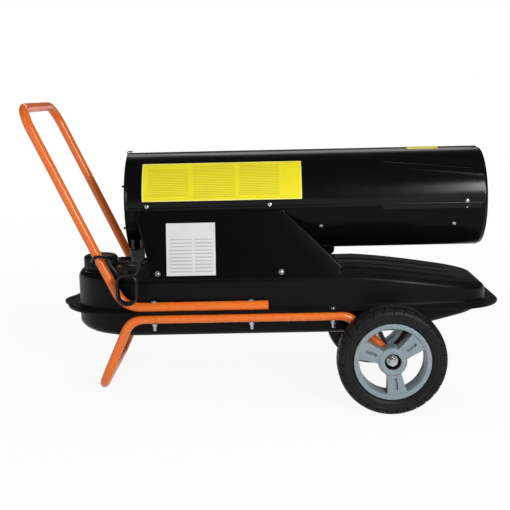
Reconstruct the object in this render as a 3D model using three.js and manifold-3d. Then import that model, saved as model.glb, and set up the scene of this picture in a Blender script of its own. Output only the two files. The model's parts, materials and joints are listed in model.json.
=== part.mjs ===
// A wheeled, direct fired forced air heater: a two part barrel over a pressed steel fuel tank,
// carried by a tube handle frame, a tube leg frame and two ten inch wheels.
// Everything is drawn in a level frame whose origin is the middle of the wheel axle, with X
// towards the hot air outlet, Y away from the viewer's side and Z up. The last step stands the
// heater on its leg and wheels, which lifts the outlet end by a few degrees.
import * as THREE from "three";
import { mergeVertices } from "three/addons/utils/BufferGeometryUtils.js";
import Module from "manifold-3d";

const wasm = await Module();
wasm.setup();

// ---------------------------------------------------------------- driving dimensions, mm
const FIT = 0.3; // gap between pieces that touch
const SCREW_CLEARANCE = 0.4; // radial, round screws, pins and shafts
const RUNNING_CLEARANCE = 0.5; // radial, at turning pieces

const WHEEL_DIAMETER = 250;
const WHEEL_WIDTH = 60;
const WHEEL_STANDOFF = 47; // from the middle of the frame's tube to the wheel's middle plane
const RIM_DIAMETER = 176;
const HUB_DIAMETER = 70;
const HUB_RECESS_DIAMETER = 36;
const AXLE_DIAMETER = 16;
const AXLE_NUT_ACROSS = 24;
const AXLE_NUT_HEIGHT = 9;

const TUBE_DIAMETER = 22;
const TUBE_WALL = 1.5;
const FRAME_WIDTH = 340; // between the tubes of the two sides
const HANDLE_FRONT_X = -278;
const HANDLE_CORNER_X = -611;
const HANDLE_RAKE = 25; // degrees back from upright
const HANDLE_RISE = 460.5;
const HANDLE_BEND = 62;
const HANDLE_TOP_BEND = 52;
const LEG_FRONT_X = -95;
const LEG_REAR_X = -597;
const LEG_RAKE = 24.4;
const LEG_DROP = 162.5;
const LEG_BEND = 48;
const FRAME_BOLT_X = [-542, -317, -129];
const FRAME_BOLT_DIAMETER = 8;
const FRAME_BOLT_HEAD = 13;

const FLANGE_Z = 107.3; // joint between the two tank halves
const FLANGE_SHEET = 2.7;
const FLANGE_OVERHANG = 12; // past the middle of the frame's tubes
const FLANGE_FRONT_X = 275;
const FLANGE_FRONT_CORNER = 78;
const FLANGE_REAR_X = -795;
const FLANGE_REAR_HALF_WIDTH = 46;
const TANK_TAPER_X = -592; // where the sides start to close in towards the rear
const TANK_SIDE_GAP = 2; // between the tank's side and the frame's tubes
const TANK_FRONT_X = 238;
const TANK_FRONT_CORNER = 60;
const TANK_REAR_X = -744;
const TANK_REAR_HALF_WIDTH = 62;
const TANK_WALL = 2;
const TANK_TOP_Z = 186;
const TANK_NOSE_X = -62; // the top slopes down in front of this line
const TANK_NOSE_Z = 147;
const TANK_BOSS_Z = 192;
const TANK_BOSS_X = -632;
const TANK_EDGE = 14;
const TANK_BOTTOM_Z = 48;
const TANK_BOTTOM_FRONT_X = 18;
const TANK_BOTTOM_REAR_X = -602;
const TANK_BELLY_EDGE = 18;
const GROOVE_SPACING = 67;
const GROOVE_WIDTH = 20;
const GROOVE_DEPTH = 4;
const GROOVE_REAR_X = -150;
const GROOVE_FRONT_X = 172;

const CAP_X = -677;
const CAP_Y = -70;
const CAP_DIAMETER = 80;
const CAP_HEIGHT = 32;
const CAP_RIBS = 18;
const NECK_DIAMETER = 62;
const NECK_WALL = 3;
const NECK_HEIGHT = 26;
const NECK_FLANGE = 78;
const STRAINER_DEPTH = 70;
const DRAIN_DIAMETER = 18;
const PICKUP_X = -646;
const PICKUP_Y = -18;
const PICKUP_FOOT_Z = 74;

const BARREL_RADIUS = 120;
const BARREL_CLEARANCE = 41.6; // between the barrel and the top of the tank
const BARREL_REAR_X = -609;
const BARREL_FRONT_X = 227;
const BARREL_SHEET = 1.5;
const BARREL_LAP = 3; // degrees that the upper shell reaches below the axis
const WING_START_X = -34;
const WING_LIFT = 5;
const OUTLET_RING_X = 236;
const OUTLET_RING_LENGTH = 60;
const CHAMBER_RADIUS = 84;
const CHAMBER_REAR_X = -318;
const CHAMBER_FRONT_X = 198;
const CHAMBER_MOUTH_RADIUS = 70;
const CHAMBER_SHEET = 1.6;
const CLIP_SHEET = 2;
const CLIP_WIDTH = 16;
const FLAME_PLATE_RADIUS = 44;
const FLAME_PLATE_X = 150;
const BURNER_RADIUS = 46;
const BURNER_LENGTH = 40;
const MOTOR_RADIUS = 46;
const MOTOR_REAR_X = -535;
const MOTOR_LENGTH = 118;
const PUMP_RADIUS = 38;
const PUMP_LENGTH = 30;
const SHAFT_DIAMETER = 10;
const FAN_RADIUS = 110;
const FAN_BLADES = 5;
const FAN_HUB_RADIUS = 24;
const FAN_HUB_LENGTH = 26;
const FAN_GAP = 9; // between the motor's face and the fan's hub
const GUARD_WIRE = 4;
const GUARD_RINGS = 4;
const GUARD_SPOKES = 6;

const COVER_TOP_DROP = 12.6; // below the barrel's axis
const COVER_SHEET = 1.6;
const COVER_TOP_REAR_X = -585;
const COVER_TOP_FRONT_X = -238;
const COVER_BOTTOM_REAR_X = -549;
const COVER_BOTTOM_FRONT_X = -104;
const COVER_CORNER = 14;
const COVER_FOOT_INSET = 5; // in from the tank's side

const KNOB_X = -470;
const KNOB_Z = 268;
const KNOB_DIAMETER = 34;
const KNOB_HEIGHT = 17;
const SWITCH_X = -392;
const SWITCH_WIDTH = 22;
const SWITCH_HEIGHT = 30;

const CORD_DIAMETER = 7.2;
const GLAND_INSET = 20; // in from the foot of the side cover
const GLAND_Z = 213;
const HANK_X = -597;
const HANK_Z = 172;
const HANK_FOLD_RADIUS = 22;
const HANK_STRAIGHT = 26; // between the folds
const HANK_TURNS = 3;
const HANK_PITCH = 9;
const HANK_STANDOFF = 20; // out from the middle of the frame's tube
const HANK_STEPS = 24; // in each turn
const PLUG_DIAMETER = 34;
const PLUG_LENGTH = 44;

// ---------------------------------------------------------------- derived sizes
const TUBE_RADIUS = TUBE_DIAMETER / 2;
const UPPER_TUBE_Z = FLANGE_Z + FLANGE_SHEET + FIT + TUBE_RADIUS;
const LOWER_TUBE_Z = FLANGE_Z - FLANGE_SHEET - FIT - TUBE_RADIUS;
const SIDE_Y = FRAME_WIDTH / 2;
const FLANGE_HALF_WIDTH = SIDE_Y + FLANGE_OVERHANG;
const TANK_HALF_WIDTH = SIDE_Y - TUBE_RADIUS - TANK_SIDE_GAP;
const BARREL_Z = TANK_TOP_Z + BARREL_CLEARANCE + BARREL_RADIUS;
const COVER_TOP_Z = BARREL_Z - COVER_TOP_DROP;
const COVER_FOOT_HALF_WIDTH = TANK_HALF_WIDTH - COVER_FOOT_INSET;
const HANK_Y = -SIDE_Y - HANK_STANDOFF;
const GLAND_Y = -COVER_FOOT_HALF_WIDTH + GLAND_INSET;
const HANDLE_TOP_X = HANDLE_CORNER_X - HANDLE_RISE * Math.tan(radians(HANDLE_RAKE));
const HANDLE_TOP_Z = UPPER_TUBE_Z + HANDLE_RISE;
const LEG_FOOT_X = LEG_REAR_X - LEG_DROP * Math.tan(radians(LEG_RAKE));
const LEG_FOOT_Z = LOWER_TUBE_Z - LEG_DROP;
const LOWER_SHELL_RADIUS = BARREL_RADIUS - BARREL_SHEET - FIT;
const BARREL_BORE = LOWER_SHELL_RADIUS - BARREL_SHEET;
const COVER_EDGE_REACH = COVER_FOOT_HALF_WIDTH - COVER_SHEET - (TANK_HALF_WIDTH - TANK_EDGE);
const COVER_FOOT_Z = TANK_TOP_Z - TANK_EDGE + FIT
  + Math.sqrt(TANK_EDGE ** 2 - Math.min(TANK_EDGE, Math.max(0, COVER_EDGE_REACH)) ** 2);
const WHEEL_Y = SIDE_Y + WHEEL_STANDOFF;
const STANDING_TILT =
  Math.asin((WHEEL_DIAMETER / 2 - TUBE_RADIUS) / Math.hypot(LEG_FOOT_X, LEG_FOOT_Z)) -
  Math.atan2(-LEG_FOOT_Z, -LEG_FOOT_X);

// ---------------------------------------------------------------- helpers
function radians(degrees) {
  return (degrees * Math.PI) / 180;
}

/** A manifold-3d solid of a closed three.js geometry. */
function solid(geometry) {
  const bare = geometry.index ? geometry.toNonIndexed() : geometry.clone();
  bare.deleteAttribute("normal");
  bare.deleteAttribute("uv");
  const merged = mergeVertices(bare, 1e-4);
  const triVerts = new Uint32Array(merged.index.array);
  const vertProperties = new Float32Array(merged.attributes.position.array);
  const made = new wasm.Manifold(new wasm.Mesh({ numProp: 3, vertProperties, triVerts }));
  if (made.volume() > 0) return made;
  for (let i = 0; i < triVerts.length; i += 3) {
    [triVerts[i + 1], triVerts[i + 2]] = [triVerts[i + 2], triVerts[i + 1]];
  }
  return new wasm.Manifold(new wasm.Mesh({ numProp: 3, vertProperties, triVerts }));
}

/** A three.js geometry of a manifold-3d solid. */
function geometryOf(made) {
  const mesh = made.getMesh();
  const geometry = new THREE.BufferGeometry();
  const positions = new Float32Array(mesh.numVert * 3);
  for (let i = 0; i < mesh.numVert; i += 1) {
    positions.set(mesh.vertProperties.subarray(i * mesh.numProp, i * mesh.numProp + 3), i * 3);
  }
  geometry.setAttribute("position", new THREE.BufferAttribute(positions, 3));
  geometry.setIndex(new THREE.BufferAttribute(new Uint32Array(mesh.triVerts), 1));
  geometry.computeVertexNormals();
  return geometry;
}

const joined = (...parts) => parts.reduce((whole, part) => whole.add(part));
const without = (whole, ...tools) => tools.reduce((rest, tool) => rest.subtract(tool), whole);

/** A box from its middle and its sides. */
function block(x, y, z, sizeX, sizeY, sizeZ) {
  return solid(new THREE.BoxGeometry(sizeX, sizeY, sizeZ).translate(x, y, z));
}

/** A solid of revolution round an axis through a point: profile is a list of [along, radius]. */
function turned(profile, axis, at, segments = 32) {
  const points = profile.map(([along, radius]) => new THREE.Vector2(radius, along));
  const geometry = new THREE.LatheGeometry(points, segments);
  if (axis === "x") geometry.rotateZ(-Math.PI / 2);
  if (axis === "z") geometry.rotateX(Math.PI / 2);
  return solid(geometry.translate(...at));
}

/** A plain cylinder from one end along an axis. */
function rod(radius, length, axis, at, segments = 24) {
  return turned([[0, 0], [0, radius], [length, radius], [length, 0]], axis, at, segments);
}

/** A pipe, open at both ends. */
function pipe(outer, inner, length, axis, at, segments = 32) {
  const profile = [[0, inner], [0, outer], [length, outer], [length, inner], [0, inner]];
  return turned(profile, axis, at, segments);
}

/** A plan outline raised from one height to another. */
function raised(shape, low, high, curveSegments = 5) {
  const geometry = new THREE.ExtrudeGeometry(shape, {
    depth: high - low, bevelEnabled: false, curveSegments,
  });
  return solid(geometry.translate(0, 0, low));
}

/** A side outline in X and Z, run across in Y, with its long edges rounded. */
function across(shape, halfWidth, edge = 0, curveSegments = 6) {
  const geometry = new THREE.ExtrudeGeometry(shape, {
    depth: 2 * (halfWidth - edge), bevelEnabled: edge > 0, bevelThickness: edge,
    bevelSize: edge, bevelOffset: -edge, bevelSegments: 2, curveSegments,
  });
  return solid(geometry.rotateX(Math.PI / 2).translate(0, halfWidth - edge, 0));
}

/** An end outline in Y and Z, run along X. */
function lengthwise(shape, x, length, curveSegments = 16) {
  const geometry = new THREE.ExtrudeGeometry(shape, {
    depth: length, bevelEnabled: false, curveSegments,
  });
  const swap = new THREE.Matrix4().set(0, 0, 1, x, 1, 0, 0, 0, 0, 1, 0, 0, 0, 0, 0, 1);
  return solid(geometry.applyMatrix4(swap));
}

/** Moves every vertex of a geometry by a rule. */
function reshaped(geometry, rule) {
  const position = geometry.attributes.position;
  for (let i = 0; i < position.count; i += 1) {
    const moved = rule(position.getX(i), position.getY(i), position.getZ(i));
    position.setXYZ(i, moved.x, moved.y, moved.z);
  }
  return geometry;
}

function outline(points) {
  return new THREE.Shape(points.map(([x, y]) => new THREE.Vector2(x, y)));
}

/** A run of straight tube with round bends at its corners. */
class BentPath extends THREE.Curve {
  constructor(corners, bends, arcSteps = 3) {
    super();
    const points = corners.map((corner) => new THREE.Vector3(...corner));
    const last = points.length - 1;
    const first = points[1].clone().sub(points[0]).normalize();
    this.stations = [{ at: points[0], along: first }];
    for (let i = 1; i < last; i += 1) {
      const into = points[i].clone().sub(points[i - 1]).normalize();
      const out = points[i + 1].clone().sub(points[i]).normalize();
      const turn = into.angleTo(out);
      const inward = out.clone().addScaledVector(into, -Math.cos(turn)).normalize();
      const start = points[i].clone().addScaledVector(into, -bends[i - 1] * Math.tan(turn / 2));
      for (let step = 0; step <= arcSteps; step += 1) {
        const angle = (turn * step) / arcSteps;
        const at = start.clone()
          .addScaledVector(into, bends[i - 1] * Math.sin(angle))
          .addScaledVector(inward, bends[i - 1] * (1 - Math.cos(angle)));
        const along = into.clone().multiplyScalar(Math.cos(angle))
          .addScaledVector(inward, Math.sin(angle));
        this.stations.push({ at, along });
      }
    }
    const end = points[last].clone().sub(points[last - 1]).normalize();
    this.stations.push({ at: points[last], along: end });
  }

  get steps() {
    return this.stations.length - 1;
  }

  station(share) {
    return this.stations[Math.round(share * this.steps)];
  }

  getPointAt(share) {
    return this.station(share).at.clone();
  }

  getTangentAt(share) {
    return this.station(share).along.clone();
  }
}

function ring(radius, sides) {
  const shape = new THREE.Shape();
  for (let i = 0; i < sides; i += 1) {
    const angle = (2 * Math.PI * (i + 0.5)) / sides;
    const draw = i === 0 ? "moveTo" : "lineTo";
    shape[draw](radius * Math.cos(angle), radius * Math.sin(angle));
  }
  shape.closePath();
  return shape;
}

/** A round tube or rod along a path. */
function swept(path, steps, radius, sides, bore = 0) {
  const shape = ring(radius, sides);
  if (bore > 0) shape.holes.push(ring(bore, Math.max(6, sides - 4)));
  return solid(new THREE.ExtrudeGeometry(shape, { steps, extrudePath: path }));
}

const smooth = (points) => new THREE.CatmullRomCurve3(
  points.map((point) => new THREE.Vector3(...point)), false, "centripetal");

const paint = {
  black: () => new THREE.MeshStandardMaterial({ color: 0x131314, roughness: 0.35, metalness: 0.2 }),
  orange: () => new THREE.MeshStandardMaterial({ color: 0xe8641e, roughness: 0.4, metalness: 0.1 }),
  rubber: () => new THREE.MeshStandardMaterial({ color: 0x1d1d1e, roughness: 0.85, metalness: 0 }),
  grey: () => new THREE.MeshStandardMaterial({ color: 0x8d94a3, roughness: 0.5, metalness: 0 }),
  zinc: () => new THREE.MeshStandardMaterial({ color: 0xb9bcc0, roughness: 0.35, metalness: 0.9 }),
  steel: () => new THREE.MeshStandardMaterial({ color: 0x85888c, roughness: 0.45, metalness: 0.9 }),
  plastic: () => new THREE.MeshStandardMaterial({ color: 0x18181a, roughness: 0.6, metalness: 0 }),
  copper: () => new THREE.MeshStandardMaterial({ color: 0xb08d3c, roughness: 0.4, metalness: 0.9 }),
  board: () => new THREE.MeshStandardMaterial({ color: 0x2d6b3c, roughness: 0.6, metalness: 0 }),
};

function piece(group, name, made, material) {
  const mesh = new THREE.Mesh(geometryOf(made), material());
  mesh.name = name;
  group.add(mesh);
  return mesh;
}

// ---------------------------------------------------------------- fuel tank
/** The plan of the tank or its flange: straight sides, rounded nose, sides closing in at the rear. */
function plan(halfWidth, rearX, rearHalfWidth, frontX, frontCorner) {
  const shape = new THREE.Shape();
  const controlX = rearX + (TANK_TAPER_X - rearX) * 0.28;
  const controlY = halfWidth - (halfWidth - rearHalfWidth) * 0.13;
  shape.moveTo(TANK_TAPER_X, -halfWidth);
  shape.lineTo(frontX - frontCorner, -halfWidth);
  shape.absarc(frontX - frontCorner, -halfWidth + frontCorner, frontCorner, -Math.PI / 2, 0);
  shape.absarc(frontX - frontCorner, halfWidth - frontCorner, frontCorner, 0, Math.PI / 2);
  shape.lineTo(TANK_TAPER_X, halfWidth);
  shape.quadraticCurveTo(controlX, controlY, rearX, rearHalfWidth);
  shape.lineTo(rearX, -rearHalfWidth);
  shape.quadraticCurveTo(controlX, -controlY, TANK_TAPER_X, -halfWidth);
  return shape;
}

const tankPlan = (inset) => plan(TANK_HALF_WIDTH - inset, TANK_REAR_X + inset,
  TANK_REAR_HALF_WIDTH - inset / 2, TANK_FRONT_X - inset, TANK_FRONT_CORNER - inset);

const flangePlan = () => plan(FLANGE_HALF_WIDTH, FLANGE_REAR_X, FLANGE_REAR_HALF_WIDTH,
  FLANGE_FRONT_X, FLANGE_FRONT_CORNER);

/** Height of the tank's top at a place along it. */
function tankTop(x) {
  if (x < TANK_NOSE_X) return TANK_TOP_Z;
  const share = (x - TANK_NOSE_X) / (TANK_FRONT_X - TANK_NOSE_X);
  return TANK_TOP_Z - (TANK_TOP_Z - TANK_NOSE_Z) * share ** 1.25;
}

function tankTopPoints(lower) {
  const steps = 6;
  const points = [];
  for (let i = 0; i <= steps; i += 1) {
    const x = TANK_NOSE_X + ((TANK_FRONT_X + TANK_EDGE - TANK_NOSE_X) * i) / steps;
    points.push([x, tankTop(x) - lower]);
  }
  return points;
}

function upperTankBody(inset) {
  const side = outline([
    [TANK_REAR_X - TANK_EDGE, TANK_BOTTOM_Z],
    [FLANGE_FRONT_X, TANK_BOTTOM_Z],
    [FLANGE_FRONT_X, TANK_NOSE_Z - inset - TANK_EDGE],
    ...tankTopPoints(inset).reverse(),
    [TANK_BOSS_X + 24, TANK_TOP_Z - inset],
    [TANK_BOSS_X, TANK_BOSS_Z - inset],
    [TANK_REAR_X - TANK_EDGE, TANK_BOSS_Z - inset],
  ]);
  const whole = across(side, TANK_HALF_WIDTH - inset, TANK_EDGE - inset / 2)
    .intersect(raised(tankPlan(inset), FLANGE_Z - 1, TANK_BOSS_Z + 10));
  return whole;
}

/** A long pressed groove in the sloping top. */
function groove(y, depth, width) {
  const steps = 4;
  const floor = [[GROOVE_REAR_X + depth, tankTop(GROOVE_REAR_X) - depth]];
  for (let i = 0; i <= steps; i += 1) {
    const x = TANK_NOSE_X + ((GROOVE_FRONT_X - depth - TANK_NOSE_X) * i) / steps;
    floor.push([x, tankTop(x) - depth]);
  }
  const side = outline([
    [GROOVE_REAR_X - depth, tankTop(GROOVE_REAR_X) + depth],
    ...floor,
    [GROOVE_FRONT_X + depth, tankTop(GROOVE_FRONT_X) + depth],
    [TANK_NOSE_X, TANK_TOP_Z + 2 * depth],
  ]);
  return across(side, width / 2).translate(0, y, 0);
}

const grooveRows = [-GROOVE_SPACING, 0, GROOVE_SPACING];

function frameBoltHoles(low, high) {
  const radius = FRAME_BOLT_DIAMETER / 2 + SCREW_CLEARANCE;
  return FRAME_BOLT_X.flatMap((x) => [-SIDE_Y, SIDE_Y].map((y) => (
    rod(radius, high - low, "z", [x, y, low], 6))));
}

function tankUpperHalf() {
  let hollow = upperTankBody(TANK_WALL).intersect(
    block(0, 0, FLANGE_Z + 200, 4000, 1000, 400 + 4));
  for (const y of grooveRows) {
    hollow = hollow.subtract(groove(y, GROOVE_DEPTH + TANK_WALL, GROOVE_WIDTH + 2 * TANK_WALL));
  }
  const rim = raised(flangePlan(), FLANGE_Z + FIT / 2, FLANGE_Z + FLANGE_SHEET, 6);
  const body = joined(upperTankBody(0), rim)
    .intersect(block(0, 0, FLANGE_Z + FIT / 2 + 200, 4000, 1000, 400));
  return without(body, hollow,
    ...grooveRows.map((y) => groove(y, GROOVE_DEPTH, GROOVE_WIDTH)),
    rod(NECK_DIAMETER / 2 - NECK_WALL, 60, "z", [CAP_X, CAP_Y, TANK_BOSS_Z - 40], 28),
    rod(PICKUP_RADIUS + SCREW_CLEARANCE, 60, "z", [PICKUP_X, PICKUP_Y, TANK_BOSS_Z - 40], 12),
    ...frameBoltHoles(FLANGE_Z - 5, FLANGE_Z + 10));
}

function lowerTankBody(inset) {
  const side = outline([
    [TANK_REAR_X - TANK_BELLY_EDGE, FLANGE_Z + 90],
    [TANK_REAR_X - TANK_BELLY_EDGE, FLANGE_Z - 12],
    [TANK_REAR_X + 44, TANK_BOTTOM_Z + 30 + inset],
    [TANK_BOTTOM_REAR_X - 36, TANK_BOTTOM_Z + 12 + inset],
    [TANK_BOTTOM_REAR_X, TANK_BOTTOM_Z + inset],
    [TANK_BOTTOM_FRONT_X, TANK_BOTTOM_Z + inset],
    [TANK_BOTTOM_FRONT_X + 90, TANK_BOTTOM_Z + 21 + inset],
    [TANK_BOTTOM_FRONT_X + 162, TANK_BOTTOM_Z + 37 + inset],
    [TANK_FRONT_X + TANK_BELLY_EDGE, TANK_BOTTOM_Z + 60 + inset],
    [TANK_FRONT_X + TANK_BELLY_EDGE, FLANGE_Z + 90],
  ]);
  return across(side, TANK_HALF_WIDTH - inset, TANK_BELLY_EDGE - inset / 2)
    .intersect(raised(tankPlan(inset), TANK_BOTTOM_Z - 10, FLANGE_Z + 1));
}

function tankLowerHalf() {
  const rim = raised(flangePlan(), FLANGE_Z - FLANGE_SHEET, FLANGE_Z - FIT / 2, 6);
  const body = joined(lowerTankBody(0), rim)
    .intersect(block(0, 0, FLANGE_Z - FIT / 2 - 200, 4000, 1000, 400));
  return without(body, lowerTankBody(TANK_WALL),
    rod(DRAIN_DIAMETER / 4 + SCREW_CLEARANCE, 40, "z", [DRAIN_X, 0, TANK_BOTTOM_Z - 20], 12),
    ...frameBoltHoles(FLANGE_Z - 10, FLANGE_Z + 5));
}

function fillerNeck() {
  const outer = NECK_DIAMETER / 2;
  const foot = TANK_BOSS_Z + FIT;
  return turned([
    [0, outer - NECK_WALL], [0, NECK_FLANGE / 2], [3, NECK_FLANGE / 2], [4, outer],
    [10, outer], [12, outer + 1.5], [14, outer],
    [NECK_HEIGHT, outer], [NECK_HEIGHT, outer - NECK_WALL], [0, outer - NECK_WALL],
  ], "z", [CAP_X, CAP_Y, foot], 20);
}

function strainer() {
  const outer = NECK_DIAMETER / 2 - NECK_WALL - FIT;
  const rimZ = TANK_BOSS_Z + FIT + NECK_HEIGHT;
  return turned([
    [-STRAINER_DEPTH, 0], [-STRAINER_DEPTH, outer - 5], [0, outer],
    [FIT, outer], [FIT, outer + NECK_WALL], [2, outer + NECK_WALL],
    [2, outer - 1.5], [0, outer - 1.5], [-STRAINER_DEPTH + 1.5, outer - 6.5],
    [-STRAINER_DEPTH + 1.5, 0],
  ], "z", [CAP_X, CAP_Y, rimZ], 20);
}

function fuelCap() {
  const outer = CAP_DIAMETER / 2;
  const inner = NECK_DIAMETER / 2 + 1.5 + RUNNING_CLEARANCE;
  const foot = TANK_BOSS_Z + FIT + 8;
  const seat = NECK_HEIGHT - 8 + 2 + FIT;
  const lid = turned([
    [seat, 0], [seat, inner], [0, inner], [0, outer - 1], [1, outer], [CAP_HEIGHT - 6, outer],
    [CAP_HEIGHT - 2, outer - 4], [CAP_HEIGHT, outer - 10], [CAP_HEIGHT, 0],
  ], "z", [CAP_X, CAP_Y, foot], 36);
  const notches = [];
  for (let i = 0; i < CAP_RIBS; i += 1) {
    const angle = (2 * Math.PI * i) / CAP_RIBS;
    const at = [CAP_X + (outer + 1.4) * Math.cos(angle), CAP_Y + (outer + 1.4) * Math.sin(angle),
      foot - 1];
    notches.push(rod(2.9, CAP_HEIGHT + 2, "z", at, 5));
  }
  return without(lid, ...notches);
}

const DRAIN_X = -300;
function drainPlug() {
  return joined(
    rod(DRAIN_DIAMETER / 2, 7, "z", [DRAIN_X, 0, TANK_BOTTOM_Z - 7 - FIT], 6),
    rod(DRAIN_DIAMETER / 4, 14, "z", [DRAIN_X, 0, TANK_BOTTOM_Z - 7], 12));
}

const PICKUP_RADIUS = 8;
function fuelPickup() {
  const bottom = PICKUP_FOOT_Z;
  const top = TANK_BOSS_Z + FIT;
  return joined(
    rod(4, top - bottom, "z", [PICKUP_X, PICKUP_Y, bottom + 4], 10),
    rod(PICKUP_RADIUS, 34, "z", [PICKUP_X, PICKUP_Y, bottom], 14),
    rod(12, 7, "z", [PICKUP_X, PICKUP_Y, top], 6),
    rod(4, PICKUP_POST + 4, "z", [PICKUP_X, PICKUP_Y, top], 10),
    rod(3, 8, "x", [PICKUP_X, PICKUP_Y, top + PICKUP_POST], 8));
}

// ---------------------------------------------------------------- barrel
/** Spreads the rows of a box's grid over marked places, a given number of rows between each. */
function spread(share, marks, rows) {
  const total = rows.reduce((sum, count) => sum + count, 0);
  let row = Math.round(share * total);
  for (let i = 0; i < rows.length; i += 1) {
    if (row <= rows[i]) return marks[i] + ((marks[i + 1] - marks[i]) * row) / rows[i];
    row -= rows[i];
  }
  return marks[marks.length - 1];
}

/** The upper half of the barrel, with the pressed wings that widen towards the outlet. */
function barrelUpperShell() {
  const alongRows = [2, 6];
  const angleRows = [2, 3, 2, 8, 2, 3, 2];
  const grid = new THREE.BoxGeometry(1, 1, 1, 8, 22, 1);
  const shaped = reshaped(grid, (u, v, w) => {
    const x = spread(u + 0.5, [BARREL_REAR_X, WING_START_X, BARREL_FRONT_X], alongRows);
    const rise = Math.max(0, (x - WING_START_X) / (BARREL_FRONT_X - WING_START_X));
    const crest = 43 - 14 * rise;
    const crease = 50 - 12 * rise;
    const marks = [-BARREL_LAP, 6, crest, crease, 180 - crease, 180 - crest, 174, 180 + BARREL_LAP];
    const angle = spread(v + 0.5, marks, angleRows);
    const fold = Math.min(angle, 180 - angle);
    const flare = fold >= crease ? 0
      : fold >= crest ? (crease - fold) / (crease - crest)
        : Math.max(0, (fold + BARREL_LAP) / (crest + BARREL_LAP)) ** 0.5;
    const radius = BARREL_RADIUS - (w < 0 ? BARREL_SHEET : 0) + WING_LIFT * rise * flare;
    return {
      x,
      y: -radius * Math.cos(radians(angle)),
      z: BARREL_Z + radius * Math.sin(radians(angle)),
    };
  });
  return solid(shaped);
}

/** An arc of sheet round the barrel's axis, between two angles, X and radii. */
function arcSheet(rearX, frontX, outer, inner, fromAngle, toAngle, rows = 20) {
  const grid = new THREE.BoxGeometry(1, 1, 1, 1, rows, 1);
  return solid(reshaped(grid, (u, v, w) => {
    const angle = radians(fromAngle + (toAngle - fromAngle) * (v + 0.5));
    const radius = w < 0 ? inner : outer;
    return {
      x: u < 0 ? rearX : frontX,
      y: -radius * Math.cos(angle),
      z: BARREL_Z + radius * Math.sin(angle),
    };
  }));
}

function barrelLowerShell() {
  const lap = 5;
  const sheet = arcSheet(BARREL_REAR_X, BARREL_FRONT_X, LOWER_SHELL_RADIUS, BARREL_BORE,
    -180 - lap, lap, 24);
  return without(sheet,
    rod(HOSE_HOLE, 20, "z", [nozzlePortX(), 0, BARREL_Z - BARREL_RADIUS - 5], 14),
    rod(HOSE_HOLE, 20, "z", [AIR_HOLE_X, 0, BARREL_Z - BARREL_RADIUS - 5], 14));
}
const AIR_HOLE_X = -508;
const HOSE_HOLE = 15;

function outletRing() {
  const outer = BARREL_BORE - FIT;
  const rear = OUTLET_RING_X - OUTLET_RING_LENGTH;
  return turned([
    [0, outer - 2], [0, outer], [OUTLET_RING_LENGTH - 2, outer], [OUTLET_RING_LENGTH, outer - 2],
    [OUTLET_RING_LENGTH, outer - 5], [OUTLET_RING_LENGTH - 3, outer - 6],
    [OUTLET_RING_LENGTH - 8, outer - 2], [0, outer - 2],
  ], "x", [rear, 0, BARREL_Z], 32);
}

function combustionChamber() {
  const wall = CHAMBER_SHEET;
  const length = CHAMBER_FRONT_X - CHAMBER_REAR_X;
  const cone = 60;
  return turned([
    [0, BURNER_RADIUS + FIT + 4], [0, CHAMBER_RADIUS - 8], [8, CHAMBER_RADIUS],
    [length - cone, CHAMBER_RADIUS], [length, CHAMBER_MOUTH_RADIUS],
    [length, CHAMBER_MOUTH_RADIUS - wall], [length - cone, CHAMBER_RADIUS - wall],
    [8 + wall, CHAMBER_RADIUS - wall], [wall, CHAMBER_RADIUS - 8 - wall],
    [wall, BURNER_RADIUS + FIT + 4], [0, BURNER_RADIUS + FIT + 4],
  ], "x", [CHAMBER_REAR_X, 0, BARREL_Z], 24);
}

/** A band round the chamber with three legs that reach the barrel's wall. */
function chamberClip(x) {
  const inner = CHAMBER_RADIUS + FIT;
  const reach = (BARREL_BORE - FIT) - (inner + CLIP_SHEET / 2);
  const band = pipe(inner + CLIP_SHEET, inner, CLIP_WIDTH, "x", [x, 0, BARREL_Z], 24);
  const legs = [90, 210, 330].map((angle) => solid(
    new THREE.BoxGeometry(CLIP_WIDTH, CLIP_SHEET, reach)
      .translate(0, 0, BARREL_BORE - FIT - reach / 2 - 0.25)
      .rotateX(radians(angle - 90))
      .translate(x + CLIP_WIDTH / 2, 0, BARREL_Z)));
  return joined(band, ...legs);
}

const FACET_SHARE = 0.99; // a faceted bore's flats lie this share of its radius out
function flamePlate() {
  const dish = turned([
    [0, 0], [0, FLAME_PLATE_RADIUS - 8], [6, FLAME_PLATE_RADIUS], [8, FLAME_PLATE_RADIUS],
    [8, FLAME_PLATE_RADIUS - 1], [2, FLAME_PLATE_RADIUS - 8], [2, 0],
  ], "x", [FLAME_PLATE_X, 0, BARREL_Z], 20);
  const reach = coneRadius(FLAME_PLATE_X + 8) * FACET_SHARE - FLAME_PLATE_RADIUS - FIT + 6;
  const arms = [30, 150, 270].map((angle) => solid(new THREE.BoxGeometry(2, 14, reach)
    .translate(FLAME_PLATE_X + 7, 0, FLAME_PLATE_RADIUS - 6 + reach / 2)
    .rotateX(radians(angle))
    .translate(0, 0, BARREL_Z)));
  return joined(dish, ...arms);
}

/** Inner radius of the chamber's tapered mouth. */
function coneRadius(x) {
  const share = Math.max(0, (x - (CHAMBER_FRONT_X - 60)) / 60);
  return CHAMBER_RADIUS - CHAMBER_SHEET - (CHAMBER_RADIUS - CHAMBER_MOUTH_RADIUS) * share;
}

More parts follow.
